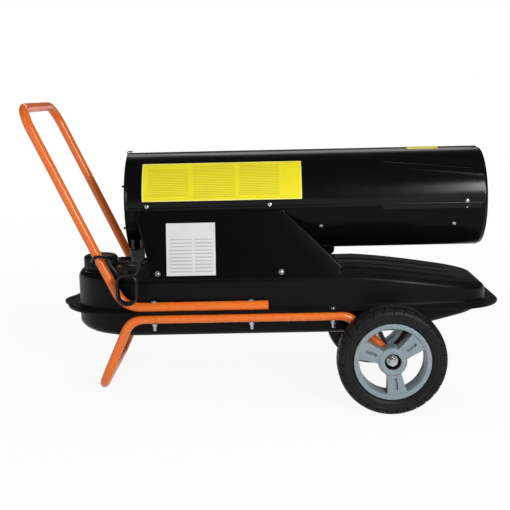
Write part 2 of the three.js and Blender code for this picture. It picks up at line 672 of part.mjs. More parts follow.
function burnerHead() {
  const rear = CHAMBER_REAR_X - BURNER_LENGTH + 12;
  const cup = turned([
    [0, NOZZLE_RADIUS + FIT], [0, BURNER_RADIUS], [BURNER_LENGTH - 12 - 2.5, BURNER_RADIUS],
    [BURNER_LENGTH - 12 - 2.5, BURNER_RADIUS + 14], [BURNER_LENGTH - 12 - FIT, BURNER_RADIUS + 14],
    [BURNER_LENGTH - 12 - FIT, BURNER_RADIUS], [BURNER_LENGTH, BURNER_RADIUS],
    [BURNER_LENGTH, BURNER_RADIUS - 2], [3, BURNER_RADIUS - 2], [3, NOZZLE_RADIUS + FIT],
    [0, NOZZLE_RADIUS + FIT],
  ], "x", [rear, 0, BARREL_Z], 18);
  const ports = [];
  for (let i = 0; i < 8; i += 1) {
    const angle = radians(45 * i + 22.5);
    ports.push(rod(5.5, 10, "x",
      [rear - 3, 31 * Math.cos(angle), BARREL_Z + 31 * Math.sin(angle)], 8));
  }
  return without(cup, ...ports);
}

const NOZZLE_RADIUS = 12;
function nozzleHolder() {
  const rear = CHAMBER_REAR_X - BURNER_LENGTH + 12;
  const body = turned([
    [-18, 0], [-18, 10], [-4, 10], [-3, NOZZLE_RADIUS + 4], [-FIT, NOZZLE_RADIUS + 4],
    [-FIT, NOZZLE_RADIUS], [16, NOZZLE_RADIUS], [26, 4], [26, 0],
  ], "x", [rear, 0, BARREL_Z], 14);
  return joined(body, ...HOSE_Y.map((y) => (
    rod(HOSE_DIAMETER / 2 - 1, NOZZLE_BARB, "z", [nozzlePortX(), y, BARREL_Z - NOZZLE_BARB], 8))));
}
const NOZZLE_BARB = 22;
const HOSE_DIAMETER = 8;
const HOSE_Y = [-6, 6]; // fuel and air
const nozzlePortX = () => CHAMBER_REAR_X - BURNER_LENGTH + 12 - 11;

function igniter() {
  const rear = CHAMBER_REAR_X - BURNER_LENGTH + 12;
  const [y, z] = [31 * Math.cos(radians(67.5)), BARREL_Z + 31 * Math.sin(radians(67.5))];
  return joined(
    rod(4.6, 30, "x", [rear - 12, y, z], 8),
    rod(1.5, 46, "x", [rear - 10, y, z], 6),
    rod(8, 5, "x", [rear - 5 - FIT, y, z], 12));
}

function photocell() {
  const rear = CHAMBER_REAR_X - BURNER_LENGTH + 12;
  const [y, z] = [31 * Math.cos(radians(157.5)), BARREL_Z + 31 * Math.sin(radians(157.5))];
  return joined(
    rod(4.6, 20, "x", [rear - 18, y, z], 8),
    rod(7, 14, "x", [rear - 14 - FIT, y, z], 12));
}

function motor() {
  const foot = 8;
  const can = turned([
    [0, 0], [0, 20], [4, MOTOR_RADIUS - 6], [12, MOTOR_RADIUS], [MOTOR_LENGTH - 12, MOTOR_RADIUS],
    [MOTOR_LENGTH - 4, MOTOR_RADIUS - 6], [MOTOR_LENGTH, 18], [MOTOR_LENGTH, 0],
  ], "x", [MOTOR_REAR_X, 0, BARREL_Z], 20);
  const vents = [];
  for (let i = 0; i < 8; i += 1) {
    const slot = new THREE.BoxGeometry(18, 5, 8).translate(0, 0, MOTOR_RADIUS)
      .rotateX(radians(45 * i + 22.5)).translate(MOTOR_REAR_X + MOTOR_LENGTH - 26, 0, BARREL_Z);
    vents.push(solid(slot));
  }
  const bore = rod(SHAFT_DIAMETER / 2 + RUNNING_CLEARANCE, MOTOR_LENGTH - foot,
    "x", [MOTOR_REAR_X + foot, 0, BARREL_Z], 16);
  return without(can, ...vents, bore);
}

/** A band round the motor on four arms that reach the barrel's wall. */
function motorBracket() {
  const x = MOTOR_REAR_X + 46;
  const band = pipe(MOTOR_RADIUS + FIT + 3, MOTOR_RADIUS + FIT, 30, "x", [x, 0, BARREL_Z], 20);
  const reach = BARREL_BORE - FIT - MOTOR_RADIUS - 1.5;
  const arms = [];
  for (const angle of [-135, -225]) {
    const arm = new THREE.BoxGeometry(30, 3, reach)
      .translate(x + 15, 0, MOTOR_RADIUS + 1.5 + reach / 2).rotateX(radians(angle))
      .translate(0, 0, BARREL_Z);
    arms.push(solid(arm));
  }
  const shoe = (from, to) => arcSheet(x, x + 30, BARREL_BORE - FIT, BARREL_BORE - FIT - 2.5, from, to, 4);
  const whole = joined(band, ...arms, shoe(-52, -38), shoe(-142, -128));
  return whole;
}

function airPump() {
  const rear = MOTOR_REAR_X - FIT - PUMP_LENGTH;
  const housing = turned([
    [0, 0], [0, PUMP_RADIUS - 3], [3, PUMP_RADIUS], [PUMP_LENGTH, PUMP_RADIUS], [PUMP_LENGTH, 0],
  ], "x", [rear, 0, BARREL_Z], 20);
  const screws = [45, 135, 225, 315].map((angle) => rod(4, 4, "x", [rear - 3,
    (PUMP_RADIUS - 8) * Math.cos(radians(angle)),
    BARREL_Z + (PUMP_RADIUS - 8) * Math.sin(radians(angle))], 6));
  const port = rod(5, 16, "z", [rear + 14, 0, BARREL_Z - PUMP_RADIUS - 12], 10);
  return joined(housing, ...screws, port);
}

/** The little dial that shows the air pump's pressure. */
function pressureGauge() {
  const rear = MOTOR_REAR_X - FIT - PUMP_LENGTH;
  return turned([
    [-18, 0], [-18, 11], [-16, 13], [-8, 13], [-8, 5], [-FIT, 5], [-FIT, 0],
  ], "x", [rear, 0, BARREL_Z], 16);
}

// ---------------------------------------------------------------- fan
function fan() {
  const hubX = MOTOR_REAR_X + MOTOR_LENGTH + FAN_GAP;
  const hub = turned([
    [0, 0], [0, FAN_HUB_RADIUS - 2], [2, FAN_HUB_RADIUS], [FAN_HUB_LENGTH - 4, FAN_HUB_RADIUS],
    [FAN_HUB_LENGTH, FAN_HUB_RADIUS - 6], [FAN_HUB_LENGTH, 0],
  ], "x", [hubX, 0, BARREL_Z], 20);
  const shaft = rod(SHAFT_DIAMETER / 2, 62, "x", [hubX - 60, 0, BARREL_Z], 16);
  const root = FAN_HUB_RADIUS - 4;
  const blades = [];
  for (let i = 0; i < FAN_BLADES; i += 1) {
    const blade = reshaped(new THREE.BoxGeometry(1, 1, 1, 2, 1, 3), (u, v, w) => {
      const share = w + 0.5;
      const radius = root + (FAN_RADIUS - root) * share;
      const chord = 34 + 34 * share - 20 * share ** 3;
      const pitch = radians(52 - 26 * share);
      const camber = 4 * (1 - 4 * u * u);
      const across = u * chord;
      const lift = camber + v * 2;
      return {
        x: across * Math.sin(pitch) + lift * Math.cos(pitch),
        y: across * Math.cos(pitch) - lift * Math.sin(pitch),
        z: radius,
      };
    });
    blade.rotateX((2 * Math.PI * i) / FAN_BLADES);
    blades.push(solid(blade.translate(hubX + FAN_HUB_LENGTH / 2, 0, BARREL_Z)));
  }
  const tip = pipe(FAN_RADIUS + 40, FAN_RADIUS, 120, "x", [hubX - 40, 0, BARREL_Z], 32);
  return without(joined(hub, shaft, ...blades), tip);
}

/** The wire grille over the air inlet. */
function fanGuard() {
  const x = BARREL_REAR_X + 6;
  const outer = BARREL_BORE - FIT - GUARD_WIRE / 2;
  const wires = [];
  for (let i = 1; i <= GUARD_RINGS; i += 1) {
    const radius = (outer * i) / GUARD_RINGS;
    const hoop = new THREE.TorusGeometry(radius, GUARD_WIRE / 2, 4, i > 2 ? 18 : 12)
      .rotateY(Math.PI / 2).translate(x, 0, BARREL_Z);
    wires.push(solid(hoop));
  }
  for (let i = 0; i < GUARD_SPOKES; i += 1) {
    const spoke = new THREE.CylinderGeometry(GUARD_WIRE / 2, GUARD_WIRE / 2, outer, 4)
      .translate(0, outer / 2, 0).rotateX((2 * Math.PI * i) / GUARD_SPOKES)
      .translate(x - 1, 0, BARREL_Z);
    wires.push(solid(spoke));
  }
  return joined(...wires);
}

// ---------------------------------------------------------------- cabinet
/** Half the cabinet's width at a height: the covers lean out towards the tank. */
function coverY(z) {
  const top = BARREL_RADIUS + FIT + COVER_SHEET + 0.5;
  return top + ((COVER_TOP_Z - z) / (COVER_TOP_Z - COVER_FOOT_Z)) * (COVER_FOOT_HALF_WIDTH - top);
}

function coverOutline() {
  const shape = new THREE.Shape();
  const nose = [COVER_BOTTOM_FRONT_X, COVER_FOOT_Z + 20];
  shape.moveTo(COVER_BOTTOM_REAR_X, COVER_FOOT_Z);
  shape.lineTo(COVER_BOTTOM_FRONT_X - COVER_CORNER, COVER_FOOT_Z);
  shape.quadraticCurveTo(COVER_BOTTOM_FRONT_X, COVER_FOOT_Z, nose[0], nose[1]);
  shape.quadraticCurveTo(nose[0] - 3, nose[1] + 5, nose[0] - 10, nose[1] + 12);
  shape.lineTo(COVER_TOP_FRONT_X + 6, COVER_TOP_Z - 5);
  shape.quadraticCurveTo(COVER_TOP_FRONT_X + 2, COVER_TOP_Z, COVER_TOP_FRONT_X - 4, COVER_TOP_Z);
  shape.lineTo(COVER_TOP_REAR_X, COVER_TOP_Z);
  shape.quadraticCurveTo(COVER_BOTTOM_REAR_X - 14, COVER_TOP_Z - 80, COVER_BOTTOM_REAR_X, COVER_FOOT_Z);
  return shape;
}

function sideCover(side) {
  const sheet = new THREE.ExtrudeGeometry(coverOutline(), {
    depth: COVER_SHEET, bevelEnabled: false, curveSegments: 6,
  });
  return reshaped(sheet, (x, z, depth) => ({ x, y: side * (coverY(z) - depth), z }));
}

function nearCover() {
  return solid(sideCover(-1));
}

function farCover() {
  const shaftHole = rod(KNOB_SHAFT / 2 + RUNNING_CLEARANCE, 20, "y", [0, -10, 0], 14);
  const switchHole = block(0, 0, 0, SWITCH_WIDTH + 2 * FIT, 20, SWITCH_HEIGHT + 2 * FIT);
  return without(solid(sideCover(1)), onFarCover(shaftHole, KNOB_X, KNOB_Z),
    onFarCover(switchHole, SWITCH_X, KNOB_Z));
}
const KNOB_SHAFT = 8;

/** An upright wall across the cabinet, cut round the barrel; lean moves its top along X. */
function cabinetWall(x, lean) {
  const low = TANK_TOP_Z + FIT;
  const high = COVER_TOP_Z - 12;
  const inset = COVER_SHEET + FIT + 0.2;
  const half = outline([
    [-(coverY(low) - inset), low], [coverY(low) - inset, low],
    [coverY(high) - inset, high], [-(coverY(high) - inset), high],
  ]);
  const round = rod(BARREL_RADIUS + WALL_GAP, 60, "x", [x - 30, 0, BARREL_Z], 48);
  const wall = without(lengthwise(half, x, COVER_SHEET, 4), round);
  if (lean === 0) return wall;
  const leaning = new THREE.Matrix4().makeShear(0, 0, 0, 0, 0, 0);
  leaning.elements[8] = lean;
  leaning.elements[12] = -lean * low;
  return wall.transform(leaning.elements);
}
const WALL_GAP = 0.35;

function cabinetBase() {
  const z = TANK_TOP_Z + FIT;
  const half = coverY(z) - COVER_SHEET - FIT - 0.4;
  const rear = COVER_BOTTOM_REAR_X + 6 + COVER_SHEET + FIT;
  const front = COVER_BOTTOM_FRONT_X - 34;
  return block((rear + front) / 2, 0, z + 1, front - rear, 2 * (half - 12), 2);
}

const BASE_TOP = TANK_TOP_Z + FIT + 2 + FIT;

function transformer() {
  const core = block(-250, -30, BASE_TOP + 17, 62, 74, 34);
  const posts = [-48, -12].map((y) => rod(5, 14, "x", [-219, y, BASE_TOP + 20], 10));
  return joined(core, ...posts);
}

function controlBoard() {
  const plate = block(-350, 66, BASE_TOP + 7, 96, 90, 2);
  const feet = [-390, -310].flatMap((x) => [28, 104].map((y) => (
    rod(3, 7, "z", [x, y, BASE_TOP], 6))));
  const parts = [
    block(-372, 42, BASE_TOP + 15, 30, 26, 15),
    block(-330, 42, BASE_TOP + 13, 22, 18, 11),
    rod(9, 18, "z", [-372, 88, BASE_TOP + 7.5], 10),
    block(-328, 84, BASE_TOP + 14, 18, 30, 13),
  ];
  return joined(plate, ...feet, ...parts);
}

function capacitor() {
  return joined(
    rod(16, 70, "x", [-520, 66, BASE_TOP + 17], 16),
    block(-485, 66, BASE_TOP + 1.5, 30, 60, 3));
}

/** Sets a solid, drawn with Y out of the face and Z up it, on the far cover's outer face. */
function onFarCover(made, x, z) {
  const lean = Math.atan2(coverY(z - 10) - coverY(z + 10), 20);
  const place = new THREE.Matrix4().makeRotationX(lean).setPosition(x, coverY(z), z);
  return made.transform(place.elements);
}

function thermostat() {
  const depth = 15;
  const box = block(0, -COVER_SHEET - FIT - depth / 2, 0, 34, depth, 30);
  const bore = rod(KNOB_SHAFT / 2 + RUNNING_CLEARANCE, depth, "y", [0, -depth + 2, 0], 14);
  return onFarCover(without(box, bore), KNOB_X, KNOB_Z);
}

function thermostatKnob() {
  const body = turned([
    [0, 0], [0, KNOB_DIAMETER / 2], [4, KNOB_DIAMETER / 2], [5, KNOB_DIAMETER / 2 - 3],
    [KNOB_HEIGHT - 2, KNOB_DIAMETER / 2 - 5], [KNOB_HEIGHT, KNOB_DIAMETER / 2 - 7],
    [KNOB_HEIGHT, 0],
  ], "y", [0, FIT, 0], 20);
  const shaft = rod(KNOB_SHAFT / 2, 12, "y", [0, -10, 0], 14);
  const pointer = block(0, KNOB_HEIGHT, 6, 2.4, 4, 10);
  return onFarCover(without(joined(body, shaft), pointer), KNOB_X, KNOB_Z);
}

function switchHousing() {
  const body = block(0, -7, 0, SWITCH_WIDTH, 16, SWITCH_HEIGHT);
  const bezel = block(0, FIT + 1.25, 0, SWITCH_WIDTH + 6, 2.5, SWITCH_HEIGHT + 6);
  const well = block(0, 5, 0, SWITCH_WIDTH - 4, 24, SWITCH_HEIGHT - 4);
  return onFarCover(without(joined(body, bezel), well), SWITCH_X, KNOB_Z);
}

/** The rocker, which tips about the middle of its underside. */
function powerSwitch() {
  const width = SWITCH_WIDTH - 4 - 2 * RUNNING_CLEARANCE;
  const half = (SWITCH_HEIGHT - 4) / 2 - 1;
  const profile = outline([
    [-half + 2, 0], [half - 2, 0], [half, 6.5], [0, 4.2], [-half, 6.5],
  ]);
  const rocker = new THREE.ExtrudeGeometry(profile, { depth: width, bevelEnabled: false });
  return onFarCover(solid(reshaped(rocker, (along, out, depth) => ({
    x: depth - width / 2, y: out - SWITCH_PIVOT, z: along,
  }))), SWITCH_X, KNOB_Z);
}
const SWITCH_PIVOT = 4;

function cordGland() {
  const x = cabinetRearX();
  return turned([
    [-20, CORD_DIAMETER / 2 + FIT], [-20, 7], [-4, 9.5], [-FIT, 9.5], [-FIT, 6.6],
    [COVER_SHEET + 8, 6.6], [COVER_SHEET + 8, CORD_DIAMETER / 2 + FIT],
    [-20, CORD_DIAMETER / 2 + FIT],
  ], "x", [x, GLAND_Y, GLAND_Z], 14);
}

function cabinetRearX() {
  return COVER_BOTTOM_REAR_X + 6;
}

function cabinetRear() {
  return without(cabinetWall(cabinetRearX(), 0),
    rod(6.6 + FIT, 20, "x", [cabinetRearX() - 10, GLAND_Y, GLAND_Z], 14),
    rod(HOSE_DIAMETER / 2 + 1, 20, "x", [cabinetRearX() - 10, HOSE_Y[0], HOSE_PASS_Z], 12));
}

function cabinetFront() {
  const rise = COVER_TOP_Z - (COVER_FOOT_Z + 32);
  const lean = (COVER_TOP_FRONT_X - COVER_BOTTOM_FRONT_X + 10) / rise;
  return cabinetWall(COVER_BOTTOM_FRONT_X - 20, lean);
}

// ---------------------------------------------------------------- frame
function handleFrame() {
  const side = (y) => [[HANDLE_FRONT_X, y, UPPER_TUBE_Z], [HANDLE_CORNER_X, y, UPPER_TUBE_Z],
    [HANDLE_TOP_X, y, HANDLE_TOP_Z]];
  const path = new BentPath([...side(-SIDE_Y), ...side(SIDE_Y).reverse()],
    [HANDLE_BEND, HANDLE_TOP_BEND, HANDLE_TOP_BEND, HANDLE_BEND]);
  const tube = swept(path, path.steps, TUBE_RADIUS, 10, TUBE_RADIUS - TUBE_WALL);
  return without(tube, ...frameBoltHoles(UPPER_TUBE_Z - 20, UPPER_TUBE_Z + 20));
}

function legFrame() {
  const side = (y) => [[0, y, 0], [LEG_FRONT_X, y, LOWER_TUBE_Z], [LEG_REAR_X, y, LOWER_TUBE_Z],
    [LEG_FOOT_X, y, LEG_FOOT_Z]];
  const path = new BentPath([...side(-SIDE_Y), ...side(SIDE_Y).reverse()],
    [LEG_BEND, LEG_BEND, LEG_BEND, LEG_BEND, LEG_BEND, LEG_BEND]);
  const tube = swept(path, path.steps, TUBE_RADIUS, 10, TUBE_RADIUS - TUBE_WALL);
  const bosses = [-SIDE_Y, SIDE_Y].map((y) => rod(AXLE_BOSS, TUBE_DIAMETER - 2, "y",
    [0, y - TUBE_RADIUS + 1, 0], 16));
  return without(joined(tube, ...bosses),
    rod(AXLE_DIAMETER / 2 + SCREW_CLEARANCE, 4 * WHEEL_Y, "y", [0, -2 * WHEEL_Y, 0], 16),
    ...frameBoltHoles(LOWER_TUBE_Z - 20, LOWER_TUBE_Z + 20));
}
const AXLE_BOSS = 15;

function frameBolt(x, y) {
  const shank = FRAME_BOLT_DIAMETER / 2;
  const bottom = LOWER_TUBE_Z - TUBE_RADIUS;
  const top = x < HANDLE_FRONT_X ? UPPER_TUBE_Z + TUBE_RADIUS : FLANGE_Z + FLANGE_SHEET;
  return joined(
    rod(shank, top - bottom + 22, "z", [x, y, bottom - 18], 6),
    rod(FRAME_BOLT_HEAD / 2, 5.5, "z", [x, y, top + FIT + 1.5], 6),
    rod(FRAME_BOLT_HEAD / 2 + 1.5, 2, "z", [x, y, top + FIT], 10),
    rod(FRAME_BOLT_HEAD / 2 + 1.5, 2, "z", [x, y, bottom - FIT - 2], 10),
    rod(FRAME_BOLT_HEAD / 2, 6.5, "z", [x, y, bottom - FIT - 8], 6));
}

function axle() {
  const half = WHEEL_Y + WHEEL_WIDTH / 2 + 1;
  return rod(AXLE_DIAMETER / 2, 2 * half, "y", [0, -half, 0], 24);
}

// ---------------------------------------------------------------- wheels
function wheelTyre(y) {
  const half = WHEEL_WIDTH / 2;
  const outer = WHEEL_DIAMETER / 2;
  const inner = RIM_DIAMETER / 2 + FIT;
  const body = turned([
    [-half + 6, inner], [-half, inner + 14], [-half + 2, outer - 9], [-half + 12, outer],
    [half - 12, outer], [half - 2, outer - 9], [half, inner + 14], [half - 6, inner],
    [-half + 6, inner],
  ], "y", [0, y, 0], 40);
  return body;
}

function wheelRim(y, outward) {
  const half = WHEEL_WIDTH / 2;
  const outer = RIM_DIAMETER / 2;
  const bore = AXLE_DIAMETER / 2 + RUNNING_CLEARANCE;
  const hoop = turned([
    [-half + 4, outer - 11], [-half + 4, outer], [half - 4, outer], [half - 4, outer - 11],
    [4, outer - 18], [-4, outer - 18], [-half + 4, outer - 11],
  ], "y", [0, 0, 0], 36);
  const hub = turned([
    [-half, 0], [-half, HUB_DIAMETER / 2 - 10], [-half + 8, HUB_DIAMETER / 2],
    [half - 12, HUB_DIAMETER / 2], [half - 8, HUB_DIAMETER / 2 - 3],
    [half - 8, HUB_RECESS_DIAMETER / 2], [half - 20, HUB_RECESS_DIAMETER / 2 - 2],
    [half - 20, 0],
  ], "y", [0, 0, 0], 18);
  const spokes = [];
  for (let i = 0; i < 3; i += 1) {
    const arm = new THREE.Shape();
    arm.moveTo(-17, 20);
    arm.quadraticCurveTo(-15, 48, -26, outer - 12);
    arm.lineTo(26, outer - 12);
    arm.quadraticCurveTo(15, 48, 17, 20);
    arm.closePath();
    const slot = new THREE.Path();
    slot.moveTo(-12, 56);
    slot.lineTo(12, 56);
    slot.lineTo(12, 61);
    slot.lineTo(-12, 61);
    slot.closePath();
    arm.holes.push(slot);
    const sheet = new THREE.ExtrudeGeometry(arm, {
      depth: 26, bevelEnabled: false, curveSegments: 4,
    });
    sheet.translate(0, 0, -13).rotateX(Math.PI / 2)
      .rotateY(radians(SPOKE_TURN + 120 * i));
    spokes.push(solid(sheet));
  }
  const whole = without(joined(hoop, hub, ...spokes),
    rod(bore, WHEEL_WIDTH + 10, "y", [0, -half - 5, 0], 24));
  const turnedRound = outward < 0 ? whole.rotate([0, 0, 180]) : whole;
  return turnedRound.translate(0, y, 0);
}
const SPOKE_TURN = 170;

function axleNut(side) {
  const seat = side * (WHEEL_Y + WHEEL_WIDTH / 2 - 20 + FIT);
  const washer = rod(13, 2, "y", [0, 0, 0], 14);
  const nut = rod(AXLE_NUT_ACROSS / 2, AXLE_NUT_HEIGHT, "y", [0, 1.5, 0], 6);
  const bore = rod(AXLE_DIAMETER / 2 + FIT, 40, "y", [0, -10, 0], 14);
  const made = without(joined(washer, nut), bore);
  const facing = side < 0 ? made.rotate([0, 0, 180]) : made;
  return facing.translate(0, seat, 0);
}

// ---------------------------------------------------------------- cord
/** A point on the hank's oval turns, by turns from the middle of its top. */
function hankPoint(turn) {
  const fold = Math.PI * HANK_FOLD_RADIUS;
  const round = 2 * (fold + HANK_STRAIGHT);
  const run = (turn - Math.floor(turn)) * round;
  const y = HANK_Y - HANK_PITCH * turn;
  const onFold = (arc, side) => [
    HANK_X + side * HANK_FOLD_RADIUS * Math.sin(arc / HANK_FOLD_RADIUS), y,
    HANK_Z + side * (HANK_STRAIGHT / 2 + HANK_FOLD_RADIUS * Math.cos(arc / HANK_FOLD_RADIUS)),
  ];
  const onSide = (down, side) => [
    HANK_X + side * HANK_FOLD_RADIUS, y, HANK_Z + side * (HANK_STRAIGHT / 2 - down),
  ];
  if (run < fold / 2) return onFold(run, 1);
  if (run < fold / 2 + HANK_STRAIGHT) return onSide(run - fold / 2, 1);
  if (run < 1.5 * fold + HANK_STRAIGHT) return onFold(run - fold - HANK_STRAIGHT, -1);
  if (run < 1.5 * fold + 2 * HANK_STRAIGHT) return onSide(run - 1.5 * fold - HANK_STRAIGHT, -1);
  return onFold(run - round, 1);
}

/** The hank's middle line: its turns, with a straight end one diameter long on each side. */
function hankLine() {
  const steps = HANK_STEPS * HANK_TURNS;
  const points = [];
  for (let i = 0; i <= steps; i += 1) points.push(hankPoint(i / HANK_STEPS));
  const [first, last] = [points[0], points[steps]];
  points.unshift([first[0] - CORD_DIAMETER, first[1], first[2]]);
  points.push([last[0] + CORD_DIAMETER, last[1], last[2]]);
  return points;
}

/** Least gap between two turns of a tube that follows a line of points. */
function leastGap(points, diameter, pointsApart) {
  let least = Infinity;
  points.forEach(([x, y, z], i) => {
    for (const [u, v, w] of points.slice(i + pointsApart)) {
      least = Math.min(least, Math.hypot(x - u, y - v, z - w) - diameter);
    }
  });
  return least;
}

function cordHank() {
  const points = hankLine();
  const gap = leastGap(points, CORD_DIAMETER, HANK_STEPS / 2);
  console.log(`cord_hank: least gap between its turns ${gap.toFixed(2)} mm`);
  return swept(smooth(points), points.length - 1, CORD_DIAMETER / 2, 6);
}

/** A point beside the handle's near arm, at an angle round it from its inner side. */
function roundArm(height, degrees) {
  const rake = radians(HANDLE_RAKE);
  const reach = TUBE_RADIUS + CORD_DIAMETER / 2 + 1;
  const back = reach * Math.sin(radians(degrees));
  return [
    HANDLE_CORNER_X - (height - UPPER_TUBE_Z) * Math.tan(rake) - back * Math.cos(rake),
    -SIDE_Y + reach * Math.cos(radians(degrees)),
    height - back * Math.sin(rake),
  ];
}

function cordLead() {
  const exit = cabinetRearX() - 20 - FIT;
  const start = hankLine()[0];
  const wrap = [-20, 30, 80, 130, 180].map((degrees, i) => roundArm(228 + 4 * i, degrees));
  return swept(smooth([
    [exit, GLAND_Y, GLAND_Z], [exit - 10, GLAND_Y, GLAND_Z], [-600, -142, 216],
    ...wrap,
    [-642, -191, 240], [-634, -191, 226], [start[0] - 2 * CORD_DIAMETER, start[1], start[2]],
    [start[0] - FIT, start[1], start[2]],
  ]), 36, CORD_DIAMETER / 2, 8);
}

function cordTail() {
  const end = hankLine().at(-1);
  return swept(smooth([
    [end[0] + 3 * FIT, end[1], end[2]], [end[0] + 12, end[1] - 1, end[2]],
    [PLUG_X - 3, PLUG_Y + 1, PLUG_Z - 11], [PLUG_X, PLUG_Y, PLUG_Z - 5],
    [PLUG_X, PLUG_Y, PLUG_Z - FIT],
  ]), 12, CORD_DIAMETER / 2, 8);
}
const PLUG_X = -568;
const PLUG_Y = HANK_Y - HANK_PITCH * HANK_TURNS - 4;
const PLUG_Z = 224;

/** The moulded plug, with a ribbed tail, a tapered grip and two round pins. */
function powerPlug() {
  const outer = PLUG_DIAMETER / 2;
  const grip = turned([
    [0, 0], [0, 6.5], [10, 8], [15, outer - 4], [24, outer], [PLUG_LENGTH - 3, outer],
    [PLUG_LENGTH, outer - 2], [PLUG_LENGTH, 0],
  ], "z", [PLUG_X, PLUG_Y, PLUG_Z], 20);
  const pins = [-9.5, 9.5].map((x) => rod(2.4, 20, "z", [PLUG_X + x, PLUG_Y, PLUG_Z + PLUG_LENGTH - 1], 8));
  return joined(grip, ...pins);
}

// ---------------------------------------------------------------- hoses
function fuelHose() {
  const top = TANK_BOSS_Z + FIT + PICKUP_POST;
  return swept(smooth([
    [PICKUP_X + 8 + FIT, PICKUP_Y, top], [PICKUP_X + 24, PICKUP_Y, top],
    [-590, PICKUP_Y + 4, 209], [cabinetRearX() - 12, HOSE_Y[0], HOSE_PASS_Z],
    [cabinetRearX() + 14, HOSE_Y[0], HOSE_PASS_Z], [-480, HOSE_Y[0], 208],
    [-400, HOSE_Y[0], 206], [nozzlePortX() - 16, HOSE_Y[0], 209],
    [nozzlePortX(), HOSE_Y[0], 226], [nozzlePortX(), HOSE_Y[0], 270],
    [nozzlePortX(), HOSE_Y[0], BARREL_Z - NOZZLE_BARB - FIT],
  ]), 28, HOSE_DIAMETER / 2, 6);
}
const HOSE_PASS_Z = 206;
const PICKUP_POST = 20;

function airHose() {
  const pump = MOTOR_REAR_X - FIT - PUMP_LENGTH + 14;
  return swept(smooth([
    [pump, 0, BARREL_Z - PUMP_RADIUS - 12 - FIT], [pump, 0, BARREL_Z - PUMP_RADIUS - 26],
    [AIR_HOLE_X - 16, HOSE_Y[1] / 2, 256], [AIR_HOLE_X, HOSE_Y[1], 228], [-482, HOSE_Y[1], 208],
    [-400, HOSE_Y[1], 206], [nozzlePortX() - 16, HOSE_Y[1], 209],
    [nozzlePortX(), HOSE_Y[1], 226], [nozzlePortX(), HOSE_Y[1], 270],
    [nozzlePortX(), HOSE_Y[1], BARREL_Z - NOZZLE_BARB - FIT],
  ]), 24, HOSE_DIAMETER / 2, 6);
}

// ---------------------------------------------------------------- assembly
const heater = new THREE.Group();
const level = new THREE.Group();
level.rotation.y = -STANDING_TILT;
level.position.z = WHEEL_DIAMETER / 2;
heater.add(level);

const tank = new THREE.Group();
piece(tank, "tank_upper_half", tankUpperHalf(), paint.black);
piece(tank, "tank_lower_half", tankLowerHalf(), paint.black);
piece(tank, "filler_neck", fillerNeck(), paint.black);
piece(tank, "fuel_strainer", strainer(), paint.plastic);
piece(tank, "fuel_cap", fuelCap(), paint.plastic);
piece(tank, "drain_plug", drainPlug(), paint.zinc);
piece(tank, "fuel_pickup", fuelPickup(), paint.copper);

const barrel = new THREE.Group();
piece(barrel, "barrel_upper_shell", barrelUpperShell(), paint.black);
piece(barrel, "barrel_lower_shell", barrelLowerShell(), paint.black);
piece(barrel, "outlet_ring", outletRing(), paint.black);
piece(barrel, "combustion_chamber", combustionChamber(), paint.steel);
piece(barrel, "chamber_clip_rear", chamberClip(CHAMBER_REAR_X + 82), paint.steel);
piece(barrel, "chamber_clip_front", chamberClip(CHAMBER_FRONT_X - 108), paint.steel);
piece(barrel, "flame_plate", flamePlate(), paint.steel);
piece(barrel, "burner_head", burnerHead(), paint.steel);
piece(barrel, "nozzle_holder", nozzleHolder(), paint.copper);
piece(barrel, "igniter", igniter(), paint.grey);
piece(barrel, "photocell", photocell(), paint.plastic);
piece(barrel, "motor", motor(), paint.steel);
piece(barrel, "motor_bracket", motorBracket(), paint.zinc);
piece(barrel, "air_pump", airPump(), paint.zinc);
piece(barrel, "pressure_gauge", pressureGauge(), paint.copper);
piece(barrel, "fan", fan(), paint.steel);
piece(barrel, "fan_guard", fanGuard(), paint.black);

const cabinet = new THREE.Group();
piece(cabinet, "side_cover_near", nearCover(), paint.black);
piece(cabinet, "side_cover_far", farCover(), paint.black);
piece(cabinet, "cabinet_front", cabinetFront(), paint.black);
piece(cabinet, "cabinet_rear", cabinetRear(), paint.black);
piece(cabinet, "cabinet_base", cabinetBase(), paint.zinc);
piece(cabinet, "ignition_transformer", transformer(), paint.plastic);
piece(cabinet, "control_board", controlBoard(), paint.board);
piece(cabinet, "motor_capacitor", capacitor(), paint.grey);
piece(cabinet, "thermostat", thermostat(), paint.plastic);
piece(cabinet, "thermostat_knob", thermostatKnob(), paint.plastic);
piece(cabinet, "switch_housing", switchHousing(), paint.plastic);
piece(cabinet, "power_switch", powerSwitch(), paint.rubber);
piece(cabinet, "cord_gland", cordGland(), paint.rubber);
piece(cabinet, "fuel_hose", fuelHose(), paint.rubber);
piece(cabinet, "air_hose", airHose(), paint.rubber);

const frame = new THREE.Group();
piece(frame, "handle_frame", handleFrame(), paint.orange);
piece(frame, "leg_frame", legFrame(), paint.orange);
for (const [side, name] of [[-1, "near"], [1, "far"]]) {
  FRAME_BOLT_X.forEach((x, i) => {
    piece(frame, `frame_bolt_${name}_${i + 1}`, frameBolt(x, side * SIDE_Y), paint.zinc);
  });
}
piece(frame, "axle", axle(), paint.zinc);

const wheels = new THREE.Group();
for (const [side, name] of [[-1, "near"], [1, "far"]]) {
  piece(wheels, `tyre_${name}`, wheelTyre(side * WHEEL_Y), paint.rubber);
  piece(wheels, `rim_${name}`, wheelRim(side * WHEEL_Y, side), paint.grey);
  piece(wheels, `axle_nut_${name}`, axleNut(side), paint.zinc);
}

const cord = new THREE.Group();
piece(cord, "cord_lead", cordLead(), paint.rubber);
piece(cord, "cord_hank", cordHank(), paint.rubber);
piece(cord, "cord_tail", cordTail(), paint.rubber);
piece(cord, "power_plug", powerPlug(), paint.rubber);

level.add(tank, barrel, cabinet, frame, wheels, cord);

